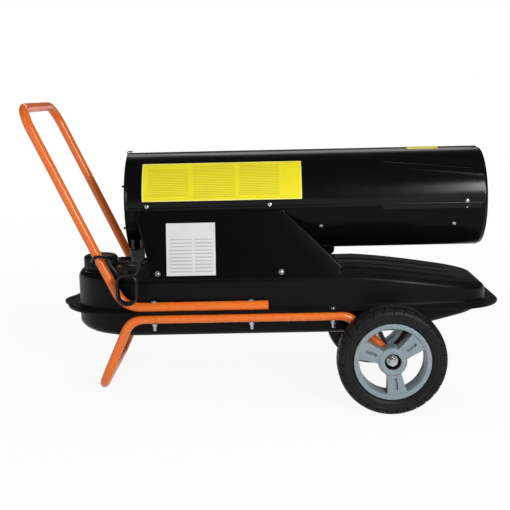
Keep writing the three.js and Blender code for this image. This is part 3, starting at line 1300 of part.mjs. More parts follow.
// The origin is on the ground, under the middle of the heater without its cord.
level.updateMatrixWorld(true);
const standing = new THREE.Box3();
for (const group of [tank, barrel, cabinet, frame, wheels]) standing.expandByObject(group, true);
level.position.x -= (standing.min.x + standing.max.x) / 2;

export default heater;
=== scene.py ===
"""A wheeled, direct fired forced air heater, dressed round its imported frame."""
import json
import math

import bmesh
import bpy
from mathutils import Matrix, Vector
from mathutils.geometry import delaunay_2d_cdt

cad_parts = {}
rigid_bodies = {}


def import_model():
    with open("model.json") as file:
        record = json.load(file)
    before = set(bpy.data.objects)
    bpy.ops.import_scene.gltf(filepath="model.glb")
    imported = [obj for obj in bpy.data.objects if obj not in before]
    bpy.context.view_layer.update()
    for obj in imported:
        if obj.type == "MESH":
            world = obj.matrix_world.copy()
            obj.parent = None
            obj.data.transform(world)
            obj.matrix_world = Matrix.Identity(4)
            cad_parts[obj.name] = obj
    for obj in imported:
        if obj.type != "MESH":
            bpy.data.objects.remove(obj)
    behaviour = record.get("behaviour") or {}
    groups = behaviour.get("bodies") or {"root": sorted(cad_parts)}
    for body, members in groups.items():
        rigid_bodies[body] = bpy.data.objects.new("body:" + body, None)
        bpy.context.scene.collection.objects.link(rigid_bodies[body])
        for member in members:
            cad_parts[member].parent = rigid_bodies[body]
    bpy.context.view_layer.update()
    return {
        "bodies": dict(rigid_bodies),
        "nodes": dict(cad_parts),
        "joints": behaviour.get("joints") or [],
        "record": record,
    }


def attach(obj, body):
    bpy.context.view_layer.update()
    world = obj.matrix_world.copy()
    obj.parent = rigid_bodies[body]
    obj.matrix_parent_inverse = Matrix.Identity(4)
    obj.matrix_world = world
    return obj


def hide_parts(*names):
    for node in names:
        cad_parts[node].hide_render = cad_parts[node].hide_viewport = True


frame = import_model()
scene = bpy.context.scene
scene.view_settings.view_transform = "Standard"

# ------------------------------------------------------------------ sizes, mm, drawn level
TILT = 0.06707687014961916  # the heater stands on leg and wheels with its outlet raised
STAND_X, STAND_Z = 303.1534251093178, 125.0
FIT = 0.3
TUBE_RADIUS = 11.0
SIDE_Y = 170.0
FLANGE_Z = 107.3
FLANGE_SHEET = 2.7
UPPER_TUBE_Z = FLANGE_Z + FLANGE_SHEET + FIT + TUBE_RADIUS
LOWER_TUBE_Z = FLANGE_Z - FLANGE_SHEET - FIT - TUBE_RADIUS
TANK_TAPER_X = -592.0
TANK_TOP_Z = 186.0
TANK_BOSS_Z, TANK_BOSS_X = 192.0, -632.0
NOSE_X, NOSE_Z, TANK_FRONT_X = -62.0, 147.0, 238.0
BARREL_Z, BARREL_RADIUS = 347.6, 120.0
BARREL_REAR_X, BARREL_FRONT_X = -609.0, 227.0
ROLLED_X = -602.0  # the rolled edge ends here
WING_X, WING_BEND_X = -34.0, 204.0  # where the barrel's wings start, and turn down
SHEET = 1.5
LOWER_RADIUS = BARREL_RADIUS - SHEET - FIT
BORE_RADIUS = LOWER_RADIUS - SHEET
ARM_FOOT_X = -611.0  # where the handle's arms leave the tank
ARM_RISE, ARM_RAKE = 460.5, math.radians(25)
LEG_FOOT_X = -597.0
LEG_DROP, LEG_RAKE = 162.5, math.radians(24.4)
TUBE_WALL = 1.5
CORD_DIAMETER = 7.2
HANK_X, HANK_Z = ARM_FOOT_X + 14, 172.0
HANK_FOLD, HANK_RUN = 22.0, 26.0
HANK_GAP, HANK_PITCH = 20.0, 9.0
CAP_X, CAP_Y = -677.0, -70.0
RIBS, RIB_STEPS = 18, 8
GROOVES, GROOVE_REAR_X, GROOVE_FRONT_X = (-67, 0, 67), -156, 176
COVER_TOP_Z, COVER_FOOT_Z = 335.0, 184.1
COVER_TOP_Y, COVER_FOOT_Y = 122.4, 152.0
COVER_FOLD = 4.5
WHEEL_Y = 217.0
TYRE_RADIUS = 125.0
FLOOR_GLOW = 0.92  # how white the floor shows; the rest keeps the heater's shadow
STUDIO_DARK = 0.03  # the room above the backdrop, as gloss shows it
ROOM_LIGHT = 0.45  # what the room adds to matt surfaces


def stand(x, y, z):
    """A level point in millimetres, as the heater stands, in metres."""
    c, s = math.cos(TILT), math.sin(TILT)
    return Vector((x * c - z * s + STAND_X, y, x * s + z * c + STAND_Z)) / 1000


def turn(x, y, z):
    """A level direction as the heater stands."""
    c, s = math.cos(TILT), math.sin(TILT)
    return Vector((x * c - z * s, y, x * s + z * c)).normalized()


# ------------------------------------------------------------------ camera
camera = bpy.data.objects.new("camera", bpy.data.cameras.new("camera"))
scene.collection.objects.link(camera)
scene.camera = camera
camera.data.sensor_width = 36.0
camera.data.lens = 69.58
camera.data.clip_start, camera.data.clip_end = 0.05, 50
right, up, back = (Vector((0.99892, 0.01189, 0.04483)), Vector((-0.04617, 0.16323, 0.98551)),
                   Vector((0.00440, -0.98652, 0.16360)))
camera.matrix_world = Matrix.Translation((-0.0084, -2.3938, 0.7115)) @ Matrix(
    (right, up, back)).transposed().to_4x4()


# ------------------------------------------------------------------ finishes
def new_material(name):
    """A material with its tree, its shader and the object's own coordinates."""
    material = bpy.data.materials.new(name)
    material.use_nodes = True
    tree = material.node_tree
    where = tree.nodes.new("ShaderNodeTexCoord")
    return material, tree, tree.nodes["Principled BSDF"], where.outputs["Object"]


def noise(tree, source, scale, detail=3.0, roughness=0.5, stretch=None):
    """A noise over the object's own coordinates; stretch draws it out along an axis."""
    if stretch:
        mapping = tree.nodes.new("ShaderNodeMapping")
        mapping.inputs["Scale"].default_value = stretch
        tree.links.new(source, mapping.inputs["Vector"])
        source = mapping.outputs["Vector"]
    node = tree.nodes.new("ShaderNodeTexNoise")
    node.inputs["Scale"].default_value = scale
    node.inputs["Detail"].default_value = detail
    node.inputs["Roughness"].default_value = roughness
    tree.links.new(source, node.inputs["Vector"])
    return node.outputs["Fac"]


def ranged(tree, value, low, high, start=0.3, end=0.7):
    node = tree.nodes.new("ShaderNodeMapRange")
    node.inputs["From Min"].default_value = start
    node.inputs["From Max"].default_value = end
    node.inputs["To Min"].default_value = low
    node.inputs["To Max"].default_value = high
    tree.links.new(value, node.inputs["Value"])
    return node.outputs["Result"]


def fed(tree, socket, value):
    """Gives a socket a node's output, a number or a colour."""
    if hasattr(value, "is_output"):
        tree.links.new(value, socket)
    else:
        socket.default_value = (*value, 1) if isinstance(value, tuple) else value


def mixed(tree, share, first, second):
    """A colour between two; each is a colour or a node's output."""
    node = tree.nodes.new("ShaderNodeMix")
    node.data_type = "RGBA"
    tree.links.new(share, node.inputs["Factor"])
    fed(tree, node.inputs[6], first)
    fed(tree, node.inputs[7], second)
    return node.outputs[2]


def blended(tree, share, first, second):
    """A number between two; each is a number or a node's output."""
    node = tree.nodes.new("ShaderNodeMix")
    tree.links.new(share, node.inputs["Factor"])
    fed(tree, node.inputs[2], first)
    fed(tree, node.inputs[3], second)
    return node.outputs[0]


def worked(tree, operation, first, second=0.0):
    """Two numbers worked together; each is a number or a node's output."""
    node = tree.nodes.new("ShaderNodeMath")
    node.operation = operation
    fed(tree, node.inputs[0], first)
    fed(tree, node.inputs[1], second)
    return node.outputs["Value"]


def separated(tree, vector):
    """The three numbers of a vector."""
    node = tree.nodes.new("ShaderNodeSeparateXYZ")
    tree.links.new(vector, node.inputs["Vector"])
    return node.outputs["X"], node.outputs["Y"], node.outputs["Z"]


def bumped(tree, shader, height, distance, strength=0.5):
    node = tree.nodes.new("ShaderNodeBump")
    node.inputs["Distance"].default_value = distance
    node.inputs["Strength"].default_value = strength
    tree.links.new(height, node.inputs["Height"])
    tree.links.new(node.outputs["Normal"], shader.inputs["Normal"])


def facing_up(tree):
    """How far a surface faces upwards, where dust settles and gloss wears off."""
    geometry = tree.nodes.new("ShaderNodeNewGeometry")
    upwards = separated(tree, geometry.outputs["Normal"])[2]
    return ranged(tree, upwards, 0.0, 1.0, 0.35, 1.0)


def finish(name, colour, shade, rough, metal=0.0, specular=0.5, patch=9.0, grain=600.0,
           depth=0.00003, strength=0.35, stretch=None, dust=0.0, dull=0.0, speckle=None):
    """A paint, metal, rubber or plastic: patchy in colour and gloss, with a fine grain."""
    material, tree, shader, where = new_material(name)
    shader.inputs["Metallic"].default_value = metal
    shader.inputs["Specular IOR Level"].default_value = specular
    cloud = noise(tree, where, patch, 4.0, 0.55, stretch)
    fine = noise(tree, where, grain, 2.0, 0.6, stretch)
    colours = mixed(tree, ranged(tree, cloud, 0.0, 1.0), colour, shade)
    if speckle:
        spots = ranged(tree, noise(tree, where, grain * 0.8, 1.0), 0.0, 0.8, 0.62, 0.72)
        colours = mixed(tree, spots, colours, speckle)
    if dust:
        thickness = ranged(tree, cloud, 0.3 * dust, dust, 0.35, 0.75)
        settled = worked(tree, "MULTIPLY", facing_up(tree), thickness)
        colours = mixed(tree, settled, colours, (0.34, 0.33, 0.31))
    tree.links.new(colours, shader.inputs["Base Color"])
    streaks = noise(tree, where, patch * 3.1, 5.0, 0.6, stretch)
    roughness = ranged(tree, streaks, rough[0], rough[1])
    if dull:
        worn = worked(tree, "MULTIPLY", facing_up(tree), dull)
        roughness = worked(tree, "ADD", roughness, worn)
    tree.links.new(roughness, shader.inputs["Roughness"])
    if depth:
        bumped(tree, shader, fine, depth, strength)
    return material


finishes = {
    "barrel_paint": finish("black_enamel", (0.0030, 0.0031, 0.0034), (0.0038, 0.0039, 0.0042),
                           (0.18, 0.21), specular=0.17, grain=420, depth=0.00001, strength=0.15),
    "cabinet_paint": finish("black_satin_coat", (0.0026, 0.0027, 0.0030), (0.0034, 0.0035, 0.0038),
                            (0.22, 0.26), specular=0.06, grain=520, depth=0.00001, strength=0.2),
    "tank_paint": finish("black_tank_coat", (0.0026, 0.0027, 0.0030), (0.0034, 0.0035, 0.0039),
                         (0.28, 0.32), specular=0.09, dull=0.24, dust=0.035, grain=480,
                         depth=0.00001, strength=0.2),
    "orange_paint": finish("orange_enamel", (0.80, 0.158, 0.016), (0.77, 0.148, 0.014),
                           (0.25, 0.29), specular=0.45, patch=14, depth=0),
    "zinc": finish("zinc_plate", (0.50, 0.51, 0.53), (0.36, 0.37, 0.38), (0.18, 0.34),
                   metal=0.95, patch=60, grain=900),
    "chamber_steel": finish("heated_steel", (0.36, 0.33, 0.30), (0.17, 0.15, 0.17), (0.28, 0.48),
                            metal=0.9, patch=16, grain=700, stretch=(0.3, 1, 1)),
    "motor_steel": finish("motor_enamel", (0.085, 0.086, 0.092), (0.060, 0.061, 0.066),
                          (0.35, 0.5), patch=20, grain=500),
    "fan_aluminium": finish("fan_sheet", (0.66, 0.67, 0.68), (0.52, 0.53, 0.54), (0.25, 0.42),
                            metal=0.9, patch=24, grain=800),
    "brass": finish("brass", (0.72, 0.50, 0.20), (0.52, 0.36, 0.15), (0.22, 0.4), metal=0.95,
                    patch=70, grain=900),
    "ceramic": finish("glazed_ceramic", (0.82, 0.80, 0.74), (0.74, 0.71, 0.64), (0.15, 0.3),
                      patch=40, grain=700),
    "board": finish("lacquered_board", (0.02, 0.13, 0.05), (0.035, 0.17, 0.07), (0.25, 0.4),
                    patch=90, grain=600),
    "dark_plastic": finish("dark_plastic", (0.0042, 0.0042, 0.0046), (0.0064, 0.0064, 0.0068),
                           (0.34, 0.44), specular=0.16, patch=25, grain=900, depth=0.00003,
                           dust=0.05),
    "switch_plastic": finish("switch_plastic", (0.008, 0.008, 0.009), (0.012, 0.012, 0.013),
                             (0.2, 0.3), specular=0.35, patch=30, grain=900, strength=0.15),
    "rubber": finish("moulded_rubber", (0.0036, 0.0036, 0.0040), (0.0056, 0.0056, 0.0060),
                     (0.34, 0.46), specular=0.16, patch=25, grain=800, depth=0.00003),
    "cord_rubber": finish("cord_sheath", (0.0032, 0.0032, 0.0036), (0.0050, 0.0050, 0.0055),
                          (0.20, 0.28), specular=0.26, patch=40, grain=900, depth=0.00002),
    "tyre_rubber": finish("tyre_rubber", (0.0060, 0.0064, 0.0068), (0.0090, 0.0095, 0.0100),
                          (0.40, 0.52), patch=18, grain=700, depth=0.00005, strength=0.4,
                          specular=0.16, dust=0.03),
    "rim_plastic": finish("rim_plastic", (0.218, 0.274, 0.296), (0.196, 0.250, 0.272),
                          (0.34, 0.44), specular=0.35, patch=22, grain=900, depth=0.00003,
                          speckle=(0.25, 0.31, 0.33)),
}
slot_of_node = {part["node"]: part["material_slot"] for part in frame["record"]["subparts"]}


# ------------------------------------------------------------------ making pieces
def made_piece(name, points, faces, paint, body="chassis", crease=32.0, uvs=None):
    """A mesh from level points in millimetres, carried by a body."""
    mesh = bpy.data.meshes.new(name)
    mesh.from_pydata([tuple(stand(*point)) for point in points], [], faces)
    mesh.validate()
    mesh.materials.append(finishes[paint] if isinstance(paint, str) else paint)
    if uvs:
        layer = mesh.uv_layers.new(name="UVMap")
        for loop in mesh.loops:
            layer.data[loop.index].uv = uvs[loop.vertex_index]
    return dressed(bpy.data.objects.new(name, mesh), body, crease)


def dressed(piece, body, crease=32.0):
    if piece.name not in scene.collection.objects:
        scene.collection.objects.link(piece)
    mesh = piece.data
    for polygon in mesh.polygons:
        polygon.use_smooth = True
    mesh.set_sharp_from_angle(angle=math.radians(crease))
    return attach(piece, body)


class Net:
    """Points and faces, gathered as they are drawn."""

    def __init__(self):
        self.points, self.faces = [], []

    def row(self, points):
        start = len(self.points)
        self.points.extend(points)
        return list(range(start, len(self.points)))

    def between(self, first, second):
        for i in range(len(first)):
            j = (i + 1) % len(first)
            self.faces.append((first[i], first[j], second[j], second[i]))

    def loft(self, rows, ring=False):
        numbers = [self.row(row) for row in rows]
        for first, second in zip(numbers, numbers[1:]):
            self.between(first, second)
        if ring:
            self.between(numbers[-1], numbers[0])
        return numbers

    def cap(self, numbers, flip=False):
        self.faces.append(tuple(reversed(numbers)) if flip else tuple(numbers))


def lathe(profile, axis, at, segments=64, ring=True):
    """A turned shape: profile is a list of (along, radius) round an axis through a point."""
    net = Net()
    rows = []
    for along, radius in profile:
        row = []
        for i in range(segments):
            a = 2 * math.pi * i / segments
            u, v = radius * math.cos(a), radius * math.sin(a)
            point = {"x": (along, u, v), "y": (v, along, u), "z": (u, v, along)}[axis]
            row.append(tuple(p + q for p, q in zip(point, at)))
        rows.append(row)
    numbers = net.loft(rows, ring)
    if not ring:
        net.cap(numbers[0], flip=True)
        net.cap(numbers[-1])
    return net


def cleaned(piece):
    """Merges doubles and points every face outwards."""
    work = bmesh.new()
    work.from_mesh(piece.data)
    bmesh.ops.remove_doubles(work, verts=work.verts, dist=1e-6)
    bmesh.ops.dissolve_degenerate(work, edges=work.edges, dist=1e-7)
    bmesh.ops.recalc_face_normals(work, faces=work.faces)
    work.to_mesh(piece.data)
    work.free()


def drawn(name, net, paint, body="chassis", crease=32.0, nodes=()):
    piece = made_piece(name, net.points, net.faces, paint, body, crease)
    cleaned(piece)
    piece.data.set_sharp_from_angle(angle=math.radians(crease))
    if nodes:
        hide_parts(*nodes)
    return piece


# ------------------------------------------------------------------ cord
def hank_point(turns):
    """A place on the folded cord, counted in turns of it."""
    fold = math.pi * HANK_FOLD
    whole = 2 * (fold + HANK_RUN)
    gone = (turns - math.floor(turns)) * whole
    y = -SIDE_Y - HANK_GAP - HANK_PITCH * turns

    def on_fold(arc, side):
        return (HANK_X + side * HANK_FOLD * math.sin(arc / HANK_FOLD), y,
                HANK_Z + side * (HANK_RUN / 2 + HANK_FOLD * math.cos(arc / HANK_FOLD)))

    if gone < fold / 2:
        return on_fold(gone, 1)
    if gone < fold / 2 + HANK_RUN:
        return (HANK_X + HANK_FOLD, y, HANK_Z + HANK_RUN / 2 - (gone - fold / 2))
    if gone < 1.5 * fold + HANK_RUN:
        return on_fold(gone - fold - HANK_RUN, -1)
    if gone < 1.5 * fold + 2 * HANK_RUN:
        return (HANK_X - HANK_FOLD, y, HANK_Z - HANK_RUN / 2 + (gone - 1.5 * fold - HANK_RUN))
    return on_fold(gone - whole, 1)


def beside_arm(height, degrees):
    """A place on the cord's turn round the handle's near arm."""
    reach = TUBE_RADIUS + CORD_DIAMETER / 2 + 1
    behind = reach * math.sin(math.radians(degrees))
    arm_x = ARM_FOOT_X - (height - UPPER_TUBE_Z) * math.tan(ARM_RAKE)
    return (arm_x - behind * math.cos(ARM_RAKE),
            -SIDE_Y + reach * math.cos(math.radians(degrees)),
            height - behind * math.sin(ARM_RAKE))


hank = [hank_point(i / 24) for i in range(73)]
exit_point = (-563.3, -132.0, 213.0)
plug_point = (-568.0, -221.0, 224.0)
route = [exit_point, (-573.3, -132, 213), (-600, -142, 216)]
route += [beside_arm(228 + 4 * i, degrees) for i, degrees in enumerate((-20, 30, 80, 130, 180))]
first, last = hank[0], hank[-1]
route += [(-642, -191, 240), (-634, -191, 226), (first[0] - 3 * CORD_DIAMETER, *first[1:]),
          (first[0] - CORD_DIAMETER, *first[1:])]
route += hank
route += [(last[0] + CORD_DIAMETER, *last[1:]),
          (last[0] + CORD_DIAMETER + 12, last[1] - 1, last[2]),
          (plug_point[0] - 3, plug_point[1] + 1, plug_point[2] - 11),
          (plug_point[0], plug_point[1], plug_point[2] - 5),
          (plug_point[0], plug_point[1], plug_point[2] - FIT)]


def smoothed(points, steps=4):
    """A smooth run through points (centripetal)."""
    points = [Vector(point) for point in points]
    ends = [2 * points[0] - points[1], *points, 2 * points[-1] - points[-2]]
    run = []
    for a, b, c, d in zip(ends, ends[1:], ends[2:], ends[3:]):
        t = [0.0]
        for p, q in ((a, b), (b, c), (c, d)):
            t.append(t[-1] + max((q - p).length, 1e-6) ** 0.5)
        for i in range(steps):
            s = t[1] + (t[2] - t[1]) * i / steps
            e = [(p * (v - s) + q * (s - u)) / (v - u)
                 for p, q, u, v in ((a, b, t[0], t[1]), (b, c, t[1], t[2]), (c, d, t[2], t[3]))]
            f = [(e[0] * (t[2] - s) + e[1] * (s - t[0])) / (t[2] - t[0]),
                 (e[1] * (t[3] - s) + e[2] * (s - t[1])) / (t[3] - t[1])]
            run.append((f[0] * (t[2] - s) + f[1] * (s - t[1])) / (t[2] - t[1]))
    run.append(points[-1])
    return run


def sheath(name, points, diameter, paint):
    curve = bpy.data.curves.new(name, "CURVE")
    curve.dimensions = "3D"
    curve.bevel_depth = diameter / 2000
    curve.bevel_resolution = 4
    curve.use_fill_caps = True
    spline = curve.splines.new("POLY")
    spline.points.add(len(points) - 1)
    for spot, point in zip(spline.points, points):
        spot.co = (*stand(*point), 1)
    spline.use_smooth = True
    curve.materials.append(finishes[paint])
    piece = bpy.data.objects.new(name, curve)
    scene.collection.objects.link(piece)
    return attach(piece, "chassis")


flex_run = smoothed(route, 3)
flex = sheath("power_cord", flex_run, CORD_DIAMETER, "cord_rubber")
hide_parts("cord_lead", "cord_hank", "cord_tail")

# ------------------------------------------------------------------ carried-over nodes
for node_name, node in frame["nodes"].items():
    node.data.materials.clear()
    node.data.materials.append(finishes[slot_of_node[node_name]])

# ------------------------------------------------------------------ repeated small parts
def node_tree(name, inputs):
    """A geometry tree with named inputs that ends in real geometry with one finish."""
    tree = bpy.data.node_groups.new(name, "GeometryNodeTree")
    for label, kind in (*inputs, ("Finish", "Material")):
        tree.interface.new_socket(label, in_out="INPUT", socket_type="NodeSocket" + kind)
    tree.interface.new_socket("Made", in_out="OUTPUT", socket_type="NodeSocketGeometry")
    add, link = tree.nodes.new, tree.links.new
    into, out = add("NodeGroupInput"), add("NodeGroupOutput")
    real, paint = add("GeometryNodeRealizeInstances"), add("GeometryNodeSetMaterial")
    link(real.outputs["Geometry"], paint.inputs["Geometry"])
    link(into.outputs["Finish"], paint.inputs["Material"])
    link(paint.outputs["Geometry"], out.inputs["Made"])
    return tree, add, link, into, real.inputs["Geometry"]


def placing_tree(name):
    """Sets a model on every point of a mesh, turned as the point says."""
    tree, add, link, into, made = node_tree(
        name, (("Places", "Geometry"), ("Model", "Object")))
    turns = add("GeometryNodeInputNamedAttribute")
    turns.data_type = "FLOAT_VECTOR"
    turns.inputs["Name"].default_value = "turns"
    rotation = add("FunctionNodeEulerToRotation")
    model = add("GeometryNodeObjectInfo")
    model.transform_space = "ORIGINAL"
    place = add("GeometryNodeInstanceOnPoints")
    link(into.outputs["Places"], place.inputs["Points"])
    link(into.outputs["Model"], model.inputs["Object"])
    link(model.outputs["Geometry"], place.inputs["Instance"])
    link(turns.outputs["Attribute"], rotation.inputs["Euler"])
    link(rotation.outputs["Rotation"], place.inputs["Rotation"])
    link(place.outputs["Instances"], made)
    return tree


def wire_tree(name):
    """Gives every edge of a mesh the round section of a wire."""
    tree, add, link, into, made = node_tree(
        name, (("Lines", "Geometry"), ("Wire Radius", "Float"), ("Sides", "Int")))
    lines, section = add("GeometryNodeMeshToCurve"), add("GeometryNodeCurvePrimitiveCircle")
    body = add("GeometryNodeCurveToMesh")
    body.inputs["Fill Caps"].default_value = True
    link(into.outputs["Lines"], lines.inputs["Mesh"])
    link(into.outputs["Wire Radius"], section.inputs["Radius"])
    link(into.outputs["Sides"], section.inputs["Resolution"])
    link(lines.outputs["Curve"], body.inputs["Curve"])
    link(section.outputs["Curve"], body.inputs["Profile Curve"])
    link(body.outputs["Mesh"], made)
    return tree


placing, wiring = placing_tree("set_on_points"), wire_tree("bent_wire")


def grown(name, mesh, tree, values, body, slot, crease=32.0):
    """Runs a node tree on a mesh and keeps what it makes as a plain mesh."""
    seedling = bpy.data.objects.new(name + "_plan", mesh)
    scene.collection.objects.link(seedling)
    modifier = seedling.modifiers.new("grown", "NODES")
    modifier.node_group = tree
    sockets = {item.name: item.identifier for item in tree.interface.items_tree
               if item.in_out == "INPUT"}
    for key, value in values.items():
        modifier[sockets[key]] = value
    modifier[sockets["Finish"]] = finishes[slot]
    bpy.context.view_layer.update()
    made = bpy.data.meshes.new_from_object(
        seedling.evaluated_get(bpy.context.evaluated_depsgraph_get()))
    made.name = name
    bpy.data.objects.remove(seedling)
    return dressed(bpy.data.objects.new(name, made), body, crease)


def set_out(name, places, model, body, slot):
    """Places a model, drawn with Z outwards, at level points that face level directions."""
    mesh = bpy.data.meshes.new(name + "_places")
    mesh.from_pydata([tuple(stand(*point)) for point, _ in places], [], [])
    turns = mesh.attributes.new("turns", "FLOAT_VECTOR", "POINT")
    for spot, (_, direction) in zip(turns.data, places):
        spot.vector = turn(*direction).to_track_quat("Z", "X").to_euler()
    return grown(name, mesh, placing, {"Model": model}, body, slot, 28.0)


def pattern(name, profile, segments=20, cross=0.0):
    """A small turned model in metres, standing on its origin, for set_out."""
    net = lathe(profile, "z", (0, 0, 0), segments, ring=False)
    mesh = bpy.data.meshes.new(name)
    mesh.from_pydata([tuple(v / 1000 for v in point) for point in net.points], [], net.faces)
    model = bpy.data.objects.new(name, mesh)
    cleaned(model)
    if cross:
        work = bmesh.new()
        work.from_mesh(mesh)
        height = max(point[2] for point in net.points) / 1000
        for wide, deep in ((cross, cross * 0.24), (cross * 0.24, cross)):
            box = bmesh.ops.create_cube(work, size=1.0)
            bmesh.ops.scale(work, verts=box["verts"], vec=(wide / 1000, deep / 1000, 0.0003))
            bmesh.ops.translate(work, verts=box["verts"], vec=(0, 0, height + 0.00005))
        work.to_mesh(mesh)
        work.free()
    return model


# ------------------------------------------------------------------ barrel
def sheet_loft(outer_rows, inner_rows):
    """A closed sheet between matching rows of outer and inner points."""
    net = Net()
    numbers = [net.row(list(outer) + list(reversed(inner)))
               for outer, inner in zip(outer_rows, inner_rows)]
    for first, second in zip(numbers, numbers[1:]):
        net.between(first, second)
    for ends in (numbers[0], numbers[-1]):
        for i in range(len(ends) // 2 - 1):
            net.faces.append((ends[i], ends[i + 1], ends[-2 - i], ends[-1 - i]))
    return net


def stepped(marks, counts):
    values = [marks[0]]
    for low, high, count in zip(marks, marks[1:], counts):
        values += [low + (high - low) * (i + 1) / count for i in range(count)]
    return values


def eased(value):
    value = min(1.0, max(0.0, value))
    return value * value * (3 - 2 * value)


def round_barrel(x, degrees, radius):
    a = math.radians(degrees)
    return (x, -radius * math.cos(a), BARREL_Z + radius * math.sin(a))


def wing(x):
    """Angles of the wing's crest and crease, and its lift, at a place along the barrel."""
    rise = min(1.0, max(0.0, (x - WING_X) / (BARREL_FRONT_X - WING_X)))
    turned = max(0.0, (x - WING_BEND_X) / (BARREL_FRONT_X - WING_BEND_X))
    crest = 43 - 14 * rise
    crease = 50 - 12 * min(1.0, (x - WING_X) / (WING_BEND_X - WING_X)) - 8 * turned
    return crest, max(crease, crest + 0.6), 5 * rise


def bead(offset, half_width, height):
    """The height of a rounded ridge at an angle from its middle."""
    if abs(offset) >= half_width:
        return 0.0
    return height * math.cos(math.pi / 2 * offset / half_width) ** 2


def upper_row(x, drop):
    crest, crease, lift = wing(x)
    crease = max(crease, crest + 3.2)
    side = [4, 10, 8, 3, 8]
    marks = [-3.2, -0.6, crest - 1.5, crest + 1.5, crease - 1.3, crease + 1.3]
    row = []
    for degrees in stepped(marks + [180 - mark for mark in reversed(marks)],
                           side + [36] + side[::-1]):
        fold = min(degrees, 180 - degrees)
        if fold >= crease:
            flare = 0.0
        elif fold >= crest:
            flare = (crease - fold) / (crease - crest)
        else:
            flare = max(0.0, (fold + 3.2) / (crest + 3.2)) ** 0.5
        radius = BARREL_RADIUS - drop + lift * flare
        radius += bead(fold - crest, 1.5, 1.3) * eased((x - 20) / 60)
        radius += bead(fold - crease, 1.3, 1.3) * eased((x - WING_X) / 60)
        radius += bead(fold + 2.0, 1.2, 0.7)
        if x < ROLLED_X:
            radius += 1.1 * max(0.0, 1 - ((x - BARREL_REAR_X - 3.5) / 3.5) ** 2)
        row.append(round_barrel(x, degrees, radius))
    return row


upper_x = stepped([BARREL_REAR_X, ROLLED_X, WING_X, WING_BEND_X, BARREL_FRONT_X],
                  [6, 16, 34, 10])
drawn("barrel_upper_skin", sheet_loft([upper_row(x, 0) for x in upper_x],
                                      [upper_row(x, SHEET) for x in upper_x]),
      "barrel_paint", crease=24.0, nodes=["barrel_upper_shell"])


def arc_rows(xs, radius, degrees):
    return [[round_barrel(x, a, radius) for a in degrees] for x in xs]


lower_angles = stepped([-185, 5], [84])
lower_x = stepped([BARREL_REAR_X, BARREL_FRONT_X], [24])
lower_skin = drawn("barrel_lower_skin",
                   sheet_loft(arc_rows(lower_x, LOWER_RADIUS, lower_angles),
                              arc_rows(lower_x, BORE_RADIUS, lower_angles)),
                   "barrel_paint", crease=20.0, nodes=["barrel_lower_shell"])
lower_skin.data.materials[0] = finishes["cabinet_paint"]  # painted shade: the barrel's shaded lower half gets the darker, duller cabinet paint
ring_outer = BORE_RADIUS - FIT
drawn("outlet_collar", lathe(
    [(0, ring_outer - 2), (0, ring_outer), (54, ring_outer), (57.5, ring_outer - 0.4),
     (59.4, ring_outer - 1.6), (60, ring_outer - 3), (59.4, ring_outer - 4.8),
     (57.5, ring_outer - 5.6), (55, ring_outer - 5), (52, ring_outer - 2)],
    "x", (176, 0, BARREL_Z), 96), "barrel_paint", nodes=["outlet_ring"])
for side_name, side in (("near", 1), ("far", -1)):
    lap_x = stepped([-8, 30, 221], [5, 20])

    def lap_row(x, sink):
        row = []
        for i in range(5):
            a = -3.3 - 4.6 * i / 4
            row.append(round_barrel(x, a if side > 0 else 180 - a,
                                    LOWER_RADIUS + 0.25 + 0.9 * i / 4 - sink))
        return row

    drawn(f"lap_strip_{side_name}", sheet_loft([lap_row(x, 0) for x in lap_x],
                                               [lap_row(x, 0.9) for x in lap_x]),
          "barrel_paint", crease=25.0)


# ------------------------------------------------------------------ tank
def curve_between(a, control, b, steps=10):
    """Points along a bend from one place to another."""
    return [tuple((1 - t) ** 2 * p + 2 * t * (1 - t) * q + t * t * r
                  for p, q, r in zip(a, control, b)) for t in (i / steps for i in range(steps + 1))]


def plan(half, rear_x, rear_half, front_x, corner, bulge, reach=0.28, fall=0.13):
    """Points round a plan: side, nose, side, tapering rear; every plan has as many."""
    bend_x = front_x - corner
    quarter = [math.pi / 2 * i / 12 for i in range(13)]
    bend = (rear_x + (TANK_TAPER_X - rear_x) * reach, half - (half - rear_half) * fall)
    points = [(TANK_TAPER_X + (bend_x - TANK_TAPER_X) * i / 30, -half) for i in range(30)]
    points += [(bend_x + corner * math.cos(a), -half + corner + corner * math.sin(a))
               for a in (angle - math.pi / 2 for angle in quarter)]
    points += [(front_x, -(half - corner) + 2 * (half - corner) * i / 10) for i in range(1, 10)]
    points += [(bend_x + corner * math.cos(a), half - corner + corner * math.sin(a))
               for a in quarter]
    points += [(bend_x + (TANK_TAPER_X - bend_x) * i / 30, half) for i in range(1, 31)]
    points += curve_between((TANK_TAPER_X, half), bend, (rear_x, rear_half), 16)[1:]
    for i in range(1, 10):
        y = rear_half - 2 * rear_half * i / 10
        points.append((rear_x - bulge * (1 - (y / rear_half) ** 2), y))
    points += curve_between((rear_x, -rear_half), (bend[0], -bend[1]), (TANK_TAPER_X, -half),
                            16)[:-1]
    return points


def tank_plan(inset):
    """The wall's plan; its sides draw in towards the nose."""
    points = plan(half=157 - inset, rear_x=-733 + inset, rear_half=62 - inset / 2,
                  front_x=TANK_FRONT_X - inset, corner=70 - inset, bulge=5)
    full_to_x, drawn_in = 40, 0.15
    nose = TANK_FRONT_X - full_to_x
    return [(x, y * (1 - drawn_in * (max(0, x - full_to_x) / nose) ** 1.4)) for x, y in points]


def flange_plan(inset):
    return plan(half=182 - inset, rear_x=-766 + inset, rear_half=48 - inset / 2,
                front_x=268 - inset, corner=112 - inset, bulge=15, reach=0.14, fall=0.06)


